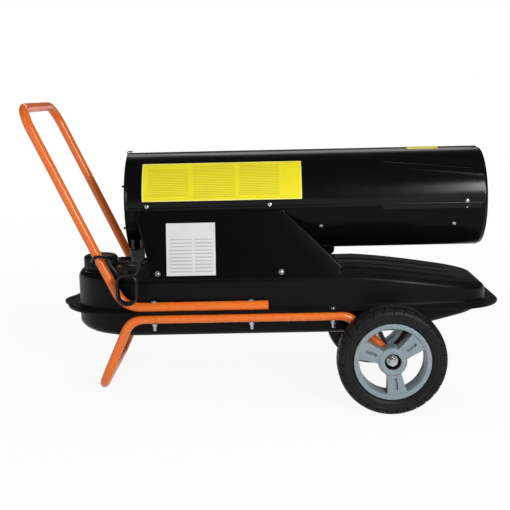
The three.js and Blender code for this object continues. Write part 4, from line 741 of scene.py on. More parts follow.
def tank_top(x):
    if x < NOSE_X:
        return TANK_TOP_Z + (TANK_BOSS_Z - TANK_TOP_Z) * eased((TANK_BOSS_X + 24 - x) / 24)
    return TANK_TOP_Z - (TANK_TOP_Z - NOSE_Z) * ((x - NOSE_X) / (TANK_FRONT_X - NOSE_X)) ** 1.25


def groove_depth(x, y):
    depth = 0.0
    for middle in GROOVES:
        across = eased((10 - abs(y - middle)) / 5)
        ends = eased((x - GROOVE_REAR_X) / 12) * eased((GROOVE_FRONT_X - x) / 16)
        depth = max(depth, 4 * across * ends)
    return depth


def inside(point, outline):
    x, y = point
    hit = False
    for (x1, y1), (x2, y2) in zip(outline, outline[1:] + outline[:1]):
        if (y1 > y) != (y2 > y) and x < (x2 - x1) * (y - y1) / (y2 - y1) + x1:
            hit = not hit
    return hit


def filled(net, border, spots, height, hole=None):
    """Fills inside a border row of the net with triangles through given spots."""
    flat = [Vector(net.points[i][:2]) for i in border]
    edges = [(i, (i + 1) % len(border)) for i in range(len(border))]
    rim = []
    if hole:
        x, y, radius = hole
        start = len(flat)
        for i in range(32):
            a = 2 * math.pi * i / 32
            flat.append(Vector((x + radius * math.cos(a), y + radius * math.sin(a))))
            edges.append((start + i, start + (i + 1) % 32))
    flat += [Vector(spot) for spot in spots]
    points, _, faces, origins, _, _ = delaunay_2d_cdt(flat, edges, [], 0, 1e-4)
    numbers = {}
    for i, point in enumerate(points):
        source = min(origins[i]) if origins[i] else -1
        if 0 <= source < len(border):
            numbers[i] = border[source]
        else:
            numbers[i] = len(net.points)
            net.points.append((point[0], point[1], height(point[0], point[1])))
            if hole and len(border) <= source < len(border) + 32:
                rim.append((source, numbers[i]))
    outline = [tuple(point) for point in flat[:len(border)]]
    for face in faces:
        middle = sum((points[i] for i in face), Vector((0, 0))) / len(face)
        if not inside(middle, outline):
            continue
        if hole and (middle - Vector(hole[:2])).length < hole[2] * 0.97:
            continue
        net.faces.append(tuple(numbers[i] for i in face))
    return [number for _, number in sorted(rim)]


def grid_spots(outline, step_x, step_y, extra=(), hole=None):
    """A grid of spots inside an outline; extra ones take its place at the grooves."""
    spots = [(-760 + i * step_x, -160 + j * step_y) for i in range(int(1060 / step_x))
             for j in range(int(330 / step_y))]
    if extra:
        spots = [s for s in spots if not any(
            abs(s[1] - middle) < 14 and GROOVE_REAR_X - 9 < s[0] < GROOVE_FRONT_X + 9
            for middle in GROOVES)] + extra
    return [s for s in spots if inside(s, outline)
            and (not hole or math.hypot(s[0] - hole[0], s[1] - hole[1]) > hole[2] + 5)]


def raised_row(outline, height):
    return [(x, y, height(x) if callable(height) else height) for x, y in outline]


upper = Net()
rows = [raised_row(outline(inset), FLANGE_Z + rise) for outline, inset, rise in (
    (flange_plan, 0.4, 0.15), (flange_plan, 0, 0.6), (flange_plan, 0, 2.2),
    (flange_plan, 0.6, 2.7), (flange_plan, 7, 2.7), (flange_plan, 9, 3.5),
    (flange_plan, 12, 3.5), (flange_plan, 14, 2.7), (tank_plan, -7, 2.7),
    (tank_plan, -3.6, 3.8), (tank_plan, -1.3, 6.6), (tank_plan, 0, 12.0))]
for share in (0.35, 0.7):
    rows.append(raised_row(tank_plan(0), lambda x, s=share: FLANGE_Z + 12.0
                           + s * (tank_top(x) - 14 - FLANGE_Z - 12.0)))
for degrees in (0, 15, 30, 45, 60, 75, 90):
    a = math.radians(degrees)
    rows.append(raised_row(tank_plan(14 * (1 - math.cos(a))),
                           lambda x, a=a: tank_top(x) - 14 * (1 - math.sin(a))))
numbers = upper.loft(rows)
neck_hole = (CAP_X, CAP_Y, 28.0)
groove_spots = [(GROOVE_REAR_X + 6 * i, middle + off) for i in range(56) for middle in GROOVES
                for off in (-12.5, -10, -7.5, -5, 0, 5, 7.5, 10, 12.5)]
spots = grid_spots(tank_plan(19), 11, 14, groove_spots, neck_hole)
neck = filled(upper, numbers[-1], spots, lambda x, y: tank_top(x) - groove_depth(x, y), neck_hole)
well = upper.row([(upper.points[i][0], upper.points[i][1], 118.0) for i in neck])
upper.between(neck, well)
upper.cap(well)
upper.cap(numbers[0], flip=True)
drawn("tank_upper_skin", upper, "tank_paint", crease=24.0, nodes=["tank_upper_half"])


def belly(x):
    marks = [(-800, 58), (-738, 57), (-716, 52.5), (-682, 49.5), (-602, 48), (0, 48),
             (18, 49.5), (108, 69), (180, 85), (256, 106), (300, 108)]
    for (x1, z1), (x2, z2) in zip(marks, marks[1:]):
        if x <= x2:
            return z1 + (z2 - z1) * (x - x1) / (x2 - x1)
    return 108.0


def below_flange(z):
    return min(z, FLANGE_Z - 6.0)


lower = Net()
rows = [raised_row(outline(inset), FLANGE_Z - drop) for outline, inset, drop in (
    (flange_plan, 0.4, 0.15), (flange_plan, 0, 0.6), (flange_plan, 0, 2.2),
    (flange_plan, 0.6, 2.7), (tank_plan, -5, 2.7), (tank_plan, -1.6, 3.6),
    (tank_plan, 0, 5.0))]
for share in (0.4, 0.8):
    rows.append(raised_row(tank_plan(0), lambda x, s=share: FLANGE_Z - 5.5
                           + s * (below_flange(belly(x) + 18) - FLANGE_Z + 5.5)))
for degrees in (0, 18, 36, 54, 72, 90):
    a = math.radians(degrees)
    rows.append(raised_row(tank_plan(18 * (1 - math.cos(a))),
                           lambda x, a=a: min(belly(x) + 18 * (1 - math.sin(a)),
                                              FLANGE_Z - 6.0 - 2 * math.sin(a))))
numbers = lower.loft(rows)
filled(lower, numbers[-1], grid_spots(tank_plan(24), 12, 30),
       lambda x, y: min(belly(x), FLANGE_Z - 8.0))
lower.cap(numbers[0], flip=True)
drawn("tank_lower_skin", lower, "tank_paint", crease=24.0, nodes=["tank_lower_half"])


# ------------------------------------------------------------------ bent tubes
def bent(corners, bends, steps=12):
    """Stations along a tube's middle line, with round bends at its corners."""
    points = [Vector(corner) for corner in corners]
    stations = [points[0]]
    for i, radius in enumerate(bends, 1):
        into = (points[i] - points[i - 1]).normalized()
        out = (points[i + 1] - points[i]).normalized()
        angle = into.angle(out)
        inward = (out - into * math.cos(angle)).normalized()
        start = points[i] - into * radius * math.tan(angle / 2)
        for step in range(steps + 1):
            a = angle * step / steps
            stations.append(start + into * radius * math.sin(a)
                            + inward * radius * (1 - math.cos(a)))
    stations.append(points[-1])
    return stations


def carried(stations):
    """A direction and two cross directions at each station, without twist."""
    frames, side = [], None
    for i, point in enumerate(stations):
        ahead = stations[min(i + 1, len(stations) - 1)] - point
        behind = point - stations[max(i - 1, 0)]
        along = (ahead.normalized() + behind.normalized()).normalized()
        if side is None:
            side = along.orthogonal().normalized()
        side = (side - along * side.dot(along)).normalized()
        frames.append((point, side, along.cross(side)))
    return frames


def tube(stations, radius, bore, sides=28):
    net = Net()

    def row(frame, size):
        point, side, other = frame
        return [tuple(point + size * (side * math.cos(2 * math.pi * i / sides)
                                      + other * math.sin(2 * math.pi * i / sides)))
                for i in range(sides)]

    frames = carried(stations)
    rows = [row(frame, radius) for frame in frames]
    rows += [row(frame, bore) for frame in reversed(frames)]
    net.loft(rows, ring=True)
    return net


def mirrored(corners):
    """A middle line down the near side and back up the far side."""
    return ([(x, -SIDE_Y, z) for x, z in corners]
            + [(x, SIDE_Y, z) for x, z in reversed(corners)])


handle_top = (ARM_FOOT_X - ARM_RISE * math.tan(ARM_RAKE), UPPER_TUBE_Z + ARM_RISE)
leg_foot = (LEG_FOOT_X - LEG_DROP * math.tan(LEG_RAKE), LOWER_TUBE_Z - LEG_DROP)
handle_run = bent(mirrored([(-278, UPPER_TUBE_Z), (ARM_FOOT_X, UPPER_TUBE_Z), handle_top]),
                  [62, 52, 52, 62])
drawn("handle_tube", tube(handle_run, TUBE_RADIUS, TUBE_RADIUS - TUBE_WALL), "orange_paint",
      crease=40, nodes=["handle_frame"])
leg_run = bent(mirrored([(0, 0), (-95, LOWER_TUBE_Z), (LEG_FOOT_X, LOWER_TUBE_Z), leg_foot]),
               [48] * 6)
leg_net = tube(leg_run, TUBE_RADIUS, TUBE_RADIUS - TUBE_WALL)
for side in (-1, 1):
    boss = lathe([(0, 8.4), (0, 14.2), (0.8, 15), (19.2, 15), (20, 14.2), (20, 8.4)], "y",
                 (0, side * SIDE_Y - 10, 0), 32)
    start = len(leg_net.points)
    leg_net.points += boss.points
    leg_net.faces += [tuple(i + start for i in face) for face in boss.faces]
drawn("leg_tube", leg_net, "orange_paint", crease=40, nodes=["leg_frame"])

# ------------------------------------------------------------------ wheels
TREAD = [(-23, 88.3, 0), (-26.5, 91, 0), (-28.6, 95, 0), (-29.3, 97.5, 0), (-28.7, 98.4, 0),
         (-29.5, 99.4, 0), (-30, 103, 0), (-29.9, 106.5, 0), (-29.2, 107.4, 0), (-29.8, 108.4, 0),
         (-29.6, 110.2, 0), (-29.4, 111, 1), (-28.8, 113.5, 1), (-27.6, 116.2, 1),
         (-26.0, 117.4, 1.0), (-26.4, 118.2, 1), (-24.6, 120.8, 1), (-21.6, 123, 1),
         (-18, 124.3, 1), (-13, 124.9, 1), (-9, 125, 1), (-8.2, 122, 0), (-5.4, 122, 0),
         (-4.6, 125, 0.6)]
TREAD = TREAD + [(-y, r, g) for y, r, g in reversed(TREAD)]
BLOCKS = 31
RIM_RING = [(-26, 76), (-26, 87), (-25, 88), (25.4, 88), (26.6, 87.2), (27, 85.6), (27, 79.4),
            (26.4, 77.6), (24.8, 76.6), (20, 76.0), (6, 74.4), (-6, 74.4), (-24, 75.4)]
RIM_HUB = [(-30, 8.5), (-30, 24), (-28, 26), (-20, 32), (14, 33), (21, 33), (25, 32), (27.2, 29.8),
           (28, 27), (28, 21.4), (27, 19.2), (25, 18.2), (6.4, 18.0), (6, 17), (6, 8.5)]
SPOKE_TURN = 68.0


def tyre(middle, outward):
    net, rows = Net(), []
    cuts = ((0.0, 1), (0.05, 1), (0.075, 0), (0.33, 0), (0.56, 0), (0.78, 0), (0.975, 0))
    for across, radius, cut in TREAD:
        row = []
        below = TYRE_RADIUS - radius
        lean = 0.16 * eased(below / 14) + (0.5 if across > 0 else 0.0)
        for i in range(BLOCKS):
            for share, deep in cuts:
                a = 2 * math.pi * (i + share + lean) / BLOCKS
                size = radius - 2.6 * deep * cut
                inward = 2.2 * deep * cut * (1 if across < 0 else -1) * eased(below / 8)
                row.append((size * math.cos(a), middle + outward * (across + inward),
                            size * math.sin(a)))
        rows.append(row)
    net.loft(rows, ring=True)
    return net


def flat_plate(name, outline, holes, thick, edge):
    """A plate in X and Y with holes and rounded edges, as a mesh in metres."""
    curve = bpy.data.curves.new(name, "CURVE")
    curve.dimensions = "2D"
    curve.fill_mode = "BOTH"
    curve.extrude = (thick / 2 - edge) / 1000
    curve.bevel_depth = edge / 1000
    curve.bevel_resolution = 2
    curve.offset = -edge / 1000
    for loop in (outline, *holes):
        spline = curve.splines.new("POLY")
        spline.points.add(len(loop) - 1)
        for spot, (x, y) in zip(spline.points, loop):
            spot.co = (x / 1000, y / 1000, 0, 1)
        spline.use_cyclic_u = True
    model = bpy.data.objects.new(name, curve)
    scene.collection.objects.link(model)
    bpy.context.view_layer.update()
    mesh = bpy.data.meshes.new_from_object(
        model.evaluated_get(bpy.context.evaluated_depsgraph_get()))
    bpy.data.objects.remove(model)
    return mesh


def spoke_sheet(outline, holes, thick, edge, front, degrees):
    """A flat spoke piece of a rim, its outer face at a depth, turned to its place."""
    mesh = flat_plate("spoke", outline, holes, thick, edge)
    for vertex in mesh.vertices:
        x, y, z = vertex.co * 1000
        vertex.co = (x, -z + front - thick / 2, y)
    mesh.transform(Matrix.Rotation(math.radians(degrees), 4, "Y"))
    return mesh


def capsule(half_length, half_width, middle, steps=8):
    points = []
    for end in (1, -1):
        for i in range(steps + 1):
            a = math.pi * i / steps
            points.append((end * half_width * math.cos(a),
                           middle + end * (half_length - half_width + half_width * math.sin(a))))
    return points


def rim(name, middle, outward, node, body):
    work = bmesh.new()
    for profile, segments in ((RIM_RING, 96), (RIM_HUB, 72)):
        net = lathe(profile, "y", (0, 0, 0), segments)
        start = [work.verts.new(point) for point in net.points]
        for face in net.faces:
            work.faces.new([start[i] for i in face])
    side = curve_between((15.5, 29), (17.5, 52), (24.5, 78))
    spoke = [(-x, y) for x, y in side] + side[::-1]
    slot, floor_slot = capsule(13.5, 3.2, 52.5), capsule(13.4, 3.1, 52.5)
    for i in range(3):
        degrees = SPOKE_TURN + 120 * i
        for outline, holes, thick, edge, front in ((spoke, [slot[::-1]], 8, 1.0, 24.0),
                                                   (spoke, [], 30, 0.6, 16.8),
                                                   (floor_slot, [], 2, 0.2, 18.2)):
            work.from_mesh(spoke_sheet(outline, holes, thick, edge, front, degrees))
    if outward < 0:
        bmesh.ops.transform(work, matrix=Matrix.Rotation(math.pi, 4, "Z"), verts=work.verts)
    mesh = bpy.data.meshes.new(name)
    bmesh.ops.remove_doubles(work, verts=work.verts, dist=1e-3)
    bmesh.ops.recalc_face_normals(work, faces=work.faces)
    for vertex in work.verts:
        x, y, z = vertex.co
        vertex.co = stand(x, y + middle, z)
    work.to_mesh(mesh)
    work.free()
    mesh.materials.append(finishes["rim_plastic"])
    piece = dressed(bpy.data.objects.new(name, mesh), body, 30.0)
    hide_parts(node)
    return piece


HUB_LINER = [(6.2, 9.0), (6.2, 17.85), (23.5, 17.95), (23.9, 17.4), (23.5, 16.9), (8.2, 16.7),
             (7.8, 16.2), (7.8, 9.0)]
for side_name, side in (("near", -1), ("far", 1)):
    liner = lathe([(side * along, radius) for along, radius in HUB_LINER][::side], "y",
                  (0, side * WHEEL_Y, 0), 48)
    drawn(f"hub_liner_{side_name}", liner, "dark_plastic", f"wheel_{side_name}", crease=30.0)
    drawn(f"tread_{side_name}", tyre(side * WHEEL_Y, side), "tyre_rubber", f"wheel_{side_name}",
          crease=26.0, nodes=[f"tyre_{side_name}"])
    rim(f"spoked_rim_{side_name}", side * WHEEL_Y, side, f"rim_{side_name}", f"wheel_{side_name}")


# ------------------------------------------------------------------ cabinet covers
def cover_y(z):
    down = (COVER_TOP_Z - z) / (COVER_TOP_Z - COVER_FOOT_Z)
    return COVER_TOP_Y + down * (COVER_FOOT_Y - COVER_TOP_Y)


def cover_outline():
    nose = (-104, COVER_FOOT_Z + 20)
    points = [(-549 + (431 * i) / 30, COVER_FOOT_Z) for i in range(30)]
    points += curve_between((-118, COVER_FOOT_Z), (-104, COVER_FOOT_Z), nose, 7)[:-1]
    points += curve_between(nose, (-107, nose[1] + 5), (-114, nose[1] + 12), 5)[:-1]
    points += [(-114 - 118 * i / 34, nose[1] + 12 + (COVER_TOP_Z - 17 - nose[1]) * i / 34)
               for i in range(34)]
    points += curve_between((-232, COVER_TOP_Z - 5), (-236, COVER_TOP_Z), (-242, COVER_TOP_Z),
                            5)[:-1]
    points += [(-242 - 343 * i / 24, COVER_TOP_Z) for i in range(24)]
    points += curve_between((-585, COVER_TOP_Z), (-563, COVER_TOP_Z - 80), (-549, COVER_FOOT_Z),
                            30)[:-1]
    return points


def from_line(x, z, start, end):
    """The distance of a point from a line between two others."""
    run = (end[0] - start[0], end[1] - start[1])
    share = ((x - start[0]) * run[0] + (z - start[1]) * run[1]) / (run[0] ** 2 + run[1] ** 2)
    share = min(1.0, max(0.0, share))
    return math.hypot(x - start[0] - share * run[0], z - start[1] - share * run[1])


def cover_bend(x, z):
    """How far the sheet curls in towards its slanted front edge and folds at both ends."""
    front = min(from_line(x, z, a, b) for a, b in zip(COVER_FRONT, COVER_FRONT[1:]))
    rear = min(from_line(x, z, a, b) for a, b in zip(COVER_REAR, COVER_REAR[1:]))
    curl = 0.0011 * max(0.0, 44 - front) ** 2
    for gap in (front, rear):
        inside_fold = max(0.0, COVER_FOLD - gap)
        curl += COVER_FOLD - math.sqrt(COVER_FOLD ** 2 - inside_fold ** 2)
    return curl


def side_sheet(name, side, outline, step, thick, paint, nodes):
    """A flat sheet on a side cover's face, from its outline in X and Z."""
    net = Net()
    border = net.row([(x, z, 0) for x, z in outline])
    low, high = min(x for x, _ in outline), max(x for x, _ in outline)
    foot, top = min(z for _, z in outline), max(z for _, z in outline)
    spots = [(low + step * i, foot + step * j) for i in range(1, int((high - low) / step))
             for j in range(1, int((top - foot) / step))]
    middle = (sum(x for x, _ in outline) / len(outline), sum(z for _, z in outline) / len(outline))
    shrunk = [(x + (middle[0] - x) * 0.03, z + (middle[1] - z) * 0.04) for x, z in outline]
    spots = [s for s in spots if inside(s, shrunk)]
    spots = [s for s in spots if cover_bend(*s) < 2.2] + fold_spots(outline)
    filled(net, border, spots, lambda x, z: 0)

    def place(x, z, depth):
        return (x, side * (cover_y(z) - cover_bend(x, z) - depth), z)

    flat = list(net.points)
    count = len(flat)
    net.points = [place(x, z, 0) for x, z, _ in flat] + [place(x, z, thick) for x, z, _ in flat]
    net.faces += [tuple(i + count for i in reversed(face)) for face in net.faces]
    net.between(border, [i + count for i in border])
    return drawn(name, net, paint, crease=30.0, nodes=nodes)


def fold_spots(outline):
    """Rows of points just inside the two folded edges, level with the edges' own points."""
    spots = []
    for line in (COVER_FRONT, COVER_REAR):
        for before, spot, after in zip(line, line[1:], line[2:]):
            run = (after[0] - before[0], after[1] - before[1])
            length = math.hypot(*run)
            for gap in (0.5, 1.2, 2.2, 3.4, 5.0, 8.0, 12.0, 18.0):
                spots.append((spot[0] - gap * run[1] / length, spot[1] + gap * run[0] / length))
    return [spot for spot in spots if inside(spot, outline)
            and min(from_line(*spot, a, b) for a, b in zip(outline, outline[1:])) > 0.4]


outline = cover_outline()
COVER_FRONT = [(x, z) for x, z in outline if x > -236 and z > COVER_FOOT_Z + 6]
COVER_REAR = [(x, z) for x, z in outline if x < -548.9 and z < COVER_TOP_Z]
for side_name, side in (("near", -1), ("far", 1)):
    side_sheet(f"side_sheet_{side_name}", side, outline, 14, 1.6, "cabinet_paint",
               [f"side_cover_{side_name}"])


# ------------------------------------------------------------------ cap and neck
def ribbed_cap():
    net, rows = Net(), []
    foot = TANK_BOSS_Z + FIT + 8
    profile = [(0, 32.9, 0), (0, 38.2, 0), (0.8, 39.4, 1), (2, 40, 1), (25, 40, 1), (27, 39.2, 1),
               (29.4, 36.6, 0.8), (31, 33.4, 0.3), (31.8, 30, 0), (32, 27, 0), (30.8, 25.6, 0),
               (30.8, 10, 0), (31.6, 8.5, 0), (31.6, 0.8, 0)]
    inner = [(21.4, 0.8, 0), (21.4, 32.9, 0)]
    for along, radius, rib in profile + inner:
        row = []
        for i in range(RIBS * RIB_STEPS):
            off_middle = abs((i % RIB_STEPS) / RIB_STEPS - 0.5)
            notch = max(0.0, 1 - (off_middle / 0.24) ** 2) ** 0.5
            a = 2 * math.pi * i / (RIBS * RIB_STEPS)
            size = radius - 2.3 * notch * rib
            row.append((CAP_X + size * math.cos(a), CAP_Y + size * math.sin(a), foot + along))
        rows.append(row)
    net.loft(rows, ring=True)
    return net


drawn("ribbed_fuel_cap", ribbed_cap(), "dark_plastic", "fuel_cap_body", 30.0, ["fuel_cap"])


# ------------------------------------------------------------------ inlet guard
def guard_lines():
    points, edges = [], []
    x = BARREL_REAR_X + 6
    outer = BORE_RADIUS - FIT - 2
    for i in range(11):
        radius = outer * (i + 1) / 11
        count = 24 + 6 * i
        start = len(points)
        for j in range(count):
            a = 2 * math.pi * j / count
            points.append((x, radius * math.cos(a), BARREL_Z + radius * math.sin(a)))
            edges.append((start + j, start + (j + 1) % count))
    for i in range(6):
        a = 2 * math.pi * (i + 0.25) / 6
        start = len(points)
        for j in range(9):
            radius = 12 + (outer - 12) * j / 8
            points.append((x - 2.4, radius * math.cos(a), BARREL_Z + radius * math.sin(a)))
            if j:
                edges.append((start + j - 1, start + j))
    for degrees in (24, 92, 156, 204, 270, 336):
        start = len(points)
        a = math.radians(degrees)
        for along, radius in ((x, outer), (BARREL_REAR_X - 3.4, outer + 2.5),
                              (BARREL_REAR_X - 3.6, BARREL_RADIUS + 1.5),
                              (BARREL_REAR_X + 0.5, BARREL_RADIUS + 3.4),
                              (BARREL_REAR_X + 9, BARREL_RADIUS + 2.9)):
            if len(points) > start:
                edges.append((len(points) - 1, len(points)))
            points.append((along, -radius * math.cos(a), BARREL_Z + radius * math.sin(a)))
    mesh = bpy.data.meshes.new("guard_lines")
    mesh.from_pydata([tuple(stand(*point)) for point in points], edges, [])
    return mesh


guard = grown("inlet_guard", guard_lines(), wiring, {"Wire Radius": 0.0014, "Sides": 8}, "chassis",
              "barrel_paint", 60.0)
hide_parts("fan_guard")


# ------------------------------------------------------------------ sticker and plate
def ruled(name, ground, line, border, columns, pitch, width=0.32):
    """A plain label: a border and columns of ruled lines, and nothing written."""
    material, tree, shader, where = new_material(name)
    shader.inputs["Specular IOR Level"].default_value = 0.2
    u, v, _ = separated(tree, tree.nodes.new("ShaderNodeTexCoord").outputs["UV"])

    def within(value, low, high):
        return worked(tree, "MULTIPLY", worked(tree, "GREATER_THAN", value, low),
                      worked(tree, "LESS_THAN", value, high))

    def beyond(value, reach):
        from_middle = worked(tree, "ABSOLUTE", worked(tree, "SUBTRACT", value, 0.5))
        return worked(tree, "GREATER_THAN", from_middle, reach)

    rows = worked(tree, "FRACT", worked(tree, "MULTIPLY", v, 1 / pitch))
    shown = 0.0
    for left, right, foot, top in columns:
        column = worked(tree, "MULTIPLY", within(u, left, right), within(v, foot, top))
        shown = worked(tree, "MAXIMUM", shown, column)
    lines = worked(tree, "MULTIPLY", worked(tree, "LESS_THAN", rows, width), shown)
    cloud = noise(tree, where, 30.0, 3.0)
    base = mixed(tree, ranged(tree, cloud, 0.0, 1.0), ground, tuple(0.93 * c for c in ground))
    inked = mixed(tree, lines, base, line)
    edge = worked(tree, "MAXIMUM", beyond(u, 0.5 - border[0]), beyond(v, 0.5 - border[1]))
    tree.links.new(mixed(tree, edge, inked, border[2]), shader.inputs["Base Color"])
    tree.links.new(ranged(tree, cloud, 0.32, 0.42), shader.inputs["Roughness"])
    bumped(tree, shader, noise(tree, where, 500.0, 2.0), 0.00001, 0.3)
    return material


def laid(name, rows, thick_rows, paint):
    """A label from matching rows of face and back points, with its own map."""
    net = Net()
    across, along = len(rows), len(rows[0])
    uvs = []
    for source in (rows, thick_rows):
        for i, row in enumerate(source):
            net.row(row)
            uvs += [(j / (along - 1), i / (across - 1)) for j in range(along)]
    size = across * along
    for i in range(across - 1):
        for j in range(along - 1):
            a = i * along + j
            net.faces.append((a, a + 1, a + along + 1, a + along))
            b = a + size
            net.faces.append((b, b + along, b + along + 1, b + 1))
    ring = ([j for j in range(along)] + [i * along + along - 1 for i in range(1, across)]
            + [(across - 1) * along + j for j in range(along - 2, -1, -1)]
            + [i * along for i in range(across - 2, 0, -1)])
    net.between(ring, [i + size for i in ring])
    made_piece(name, net.points, net.faces, paint, crease=30.0, uvs=uvs)


yellow = ruled("yellow_label", (0.78, 0.68, 0.016), (0.50, 0.44, 0.03),
               (0.006, 0.022, (0.82, 0.76, 0.22)),
               [(0.04, 0.29, 0.1, 0.84), (0.32, 0.585, 0.08, 0.9), (0.61, 0.86, 0.12, 0.9)], 0.042)
white = ruled("white_plate", (0.66, 0.675, 0.67), (0.40, 0.41, 0.42),
              (0.012, 0.012, (0.62, 0.63, 0.63)),
              [(0.07, 0.52, 0.05, 0.72), (0.58, 0.94, 0.05, 0.72)], 0.068, 0.28)
plain_yellow = ruled("yellow_mark", (0.78, 0.68, 0.016), (0.78, 0.68, 0.016),
                     (0.01, 0.02, (0.78, 0.69, 0.03)), [(0, 0, 0, 0)], 0.5)
for label_name, xs, angles, lift, paint in (
        ("side_label", stepped([-567, -195], [24]), stepped([6, 53.5], [24]), 0.35, yellow),
        ("top_mark", stepped([60, 134], [10]), stepped([76, 104], [12]), 0.4, plain_yellow)):
    laid(label_name, *([[round_barrel(x, a, BARREL_RADIUS + out) for x in xs] for a in angles]
                       for out in (lift, 0.02)), paint)


def on_near_cover(x, z, out):
    return (x, -(cover_y(z) + out), z)


plate_x, plate_z = stepped([-512, -398], [8]), stepped([190, 310], [8])
laid("data_plate", [[on_near_cover(x, z, 0.6) for x in plate_x] for z in plate_z],
     [[on_near_cover(x, z, 0.05) for x in plate_x] for z in plate_z], white)

# ------------------------------------------------------------------ screws
pan_head = pattern("pan_head", [(-1.0, 2.0), (0.0, 4.9), (0.9, 5.0), (2.0, 4.4), (2.7, 3.1),
                                (3.1, 1.5), (3.15, 0.2)], 20, cross=4.0)
rivet_head = pattern("rivet_head", [(-1.0, 0.8), (0.0, 1.5), (0.5, 1.3), (0.8, 0.8), (0.9, 0.2)],
                     14)
washer_head = pattern("washer_head", [(-0.6, 2.0), (0.0, 6.6), (0.9, 6.6), (1.2, 6.2),
                                      (1.2, 4.3), (2.6, 4.3), (3.8, 3.4), (4.4, 2.0),
                                      (4.5, 0.2)], 24, cross=3.8)


def barrel_facing(degrees):
    a = math.radians(degrees)
    return (0, -math.cos(a), math.sin(a))


barrel_screws = [(round_barrel(x, degrees, BARREL_RADIUS + lift), barrel_facing(degrees))
                 for degrees in (0.5, 179.5) for x, lift in ((-556, 0.1), (-270, 0.1), (187, 0.5))]
barrel_screws += [(round_barrel(x, degrees, LOWER_RADIUS), barrel_facing(degrees))
                  for x in (-151, 159) for degrees in (-27, -153)]
set_out("barrel_screws", barrel_screws, pan_head, "chassis", "zinc")
rivets = [(round_barrel(187, degrees, LOWER_RADIUS + 2.0), barrel_facing(degrees))
          for degrees in (-7.2, 187.2)]
set_out("lap_rivets", rivets, rivet_head, "chassis", "zinc")
bolt_foot = [(-17, 0.2), (-17, 3.2), (-16, 3.9), (-7.4, 3.9), (-7.2, 5.4), (-6.4, 6.0),
             (-2.2, 6.0), (-1.8, 8.0), (-0.4, 8.0), (-0.3, 4.0)]


def bolt_head(top):
    return [(top + 0.3, 4.0), (top + 0.3, 8.2), (top + 1.5, 8.2), (top + 1.6, 6.6),
            (top + 3.0, 6.3), (top + 4.4, 4.9), (top + 5.2, 2.8), (top + 5.4, 0.2)]


tube_foot = LOWER_TUBE_Z - TUBE_RADIUS
for length_name, top, bolt_x, numbers in (
        ("long", UPPER_TUBE_Z + TUBE_RADIUS - tube_foot, (-542, -317), (1, 2)),
        ("short", FLANGE_Z + FLANGE_SHEET - tube_foot, (-129,), (3,))):
    bolt = pattern(f"bolt_{length_name}", bolt_foot + bolt_head(top), 24)
    bolts = set_out(f"frame_bolts_{length_name}",
                    [((x, y, tube_foot), (0, 0, 1)) for x in bolt_x for y in (-SIDE_Y, SIDE_Y)],
                    bolt, "chassis", "zinc")
    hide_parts(*[f"frame_bolt_{side}_{i}" for i in numbers for side in ("near", "far")])
lean = math.atan((COVER_FOOT_Y - COVER_TOP_Y) / (COVER_TOP_Z - COVER_FOOT_Z))
cover_screws = [((x, side * cover_y(z), z), (0, side * math.cos(lean), math.sin(lean)))
                for side in (-1, 1) for x, z in ((-533, 196), (-246, 195))]
set_out("cover_screws", cover_screws, washer_head, "chassis", "zinc")

# ------------------------------------------------------------------ floor and light
def seen_rays(tree):
    """1 for the rays that show the background: to the camera, in gloss and through glass."""
    rays = tree.nodes.new("ShaderNodeLightPath")
    camera_ray = rays.outputs["Is Camera Ray"]
    total = camera_ray
    for kind in ("Is Glossy Ray", "Is Transmission Ray"):
        total = worked(tree, "ADD", total, rays.outputs[kind])
        total.node.use_clamp = True
    return total, camera_ray


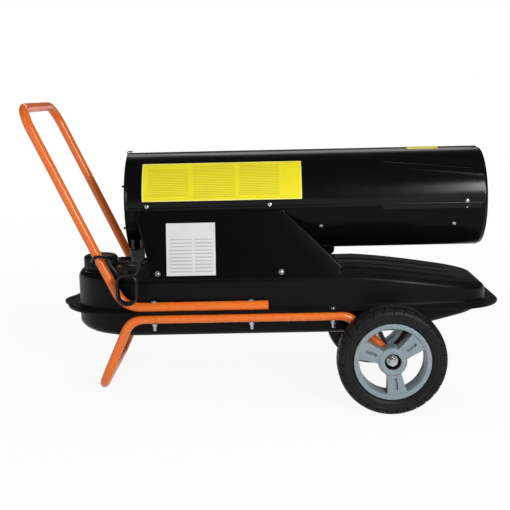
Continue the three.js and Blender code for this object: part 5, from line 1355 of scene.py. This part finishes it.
floor_material, tree, shader, spread = new_material("floor")
shader.inputs["Base Color"].default_value = (0.80, 0.80, 0.80, 1)
shader.inputs["Roughness"].default_value = 0.9
shader.inputs["Specular IOR Level"].default_value = 0.1
glow = tree.nodes.new("ShaderNodeEmission")
glow.inputs["Strength"].default_value = 1.0
blend = tree.nodes.new("ShaderNodeMixShader")
seen, _ = seen_rays(tree)
far = tree.nodes.new("ShaderNodeVectorMath")
far.operation = "LENGTH"
tree.links.new(spread, far.inputs[0])
whiter = ranged(tree, far.outputs["Value"], FLOOR_GLOW, 1.0, 0.9, 3.0)
tree.links.new(worked(tree, "MULTIPLY", seen, whiter), blend.inputs["Fac"])
tree.links.new(shader.outputs["BSDF"], blend.inputs[1])
tree.links.new(glow.outputs["Emission"], blend.inputs[2])
tree.links.new(blend.outputs["Shader"], tree.nodes["Material Output"].inputs["Surface"])
floor_mesh = bpy.data.meshes.new("floor")
floor_mesh.from_pydata([(-12, -12, 0), (12, -12, 0), (12, 12, 0), (-12, 12, 0)], [], [(0, 1, 2, 3)])
floor_mesh.materials.append(floor_material)
floor = bpy.data.objects.new("floor", floor_mesh)
scene.collection.objects.link(floor)

world = bpy.data.worlds.new("studio")
scene.world = world
world.use_nodes = True
tree = world.node_tree
background = tree.nodes["Background"]
background.inputs["Color"].default_value = (1, 1, 1, 1)
height = separated(tree, tree.nodes.new("ShaderNodeTexCoord").outputs["Generated"])[2]
seen, to_camera = seen_rays(tree)
backdrop = ranged(tree, height, 1.0, STUDIO_DARK, 0.06, 0.11)
shown = blended(tree, to_camera, backdrop, 1.0)
tree.links.new(blended(tree, seen, ROOM_LIGHT, shown), background.inputs["Strength"])


def softbox(name, place, aim, width, height, power):
    light = bpy.data.lights.new(name, "AREA")
    light.shape = "RECTANGLE"
    light.size, light.size_y, light.energy = width, height, power
    lamp = bpy.data.objects.new(name, light)
    lamp.location = place
    lamp.rotation_euler = (Vector(aim) - Vector(place)).to_track_quat("-Z", "Y").to_euler()
    scene.collection.objects.link(lamp)


softbox("key_softbox", (1.03, -2.2, 1.30), (0.40, 0, 0.45), 0.34, 0.80, 41)
softbox("rear_softbox", (-0.2, 2.7, 2.6), (0, 0, 0.5), 2.6, 1.0, 16)
softbox("left_softbox", (-2.4, -1.8, 1.5), (-0.1, 0, 0.35), 0.9, 1.3, 12)
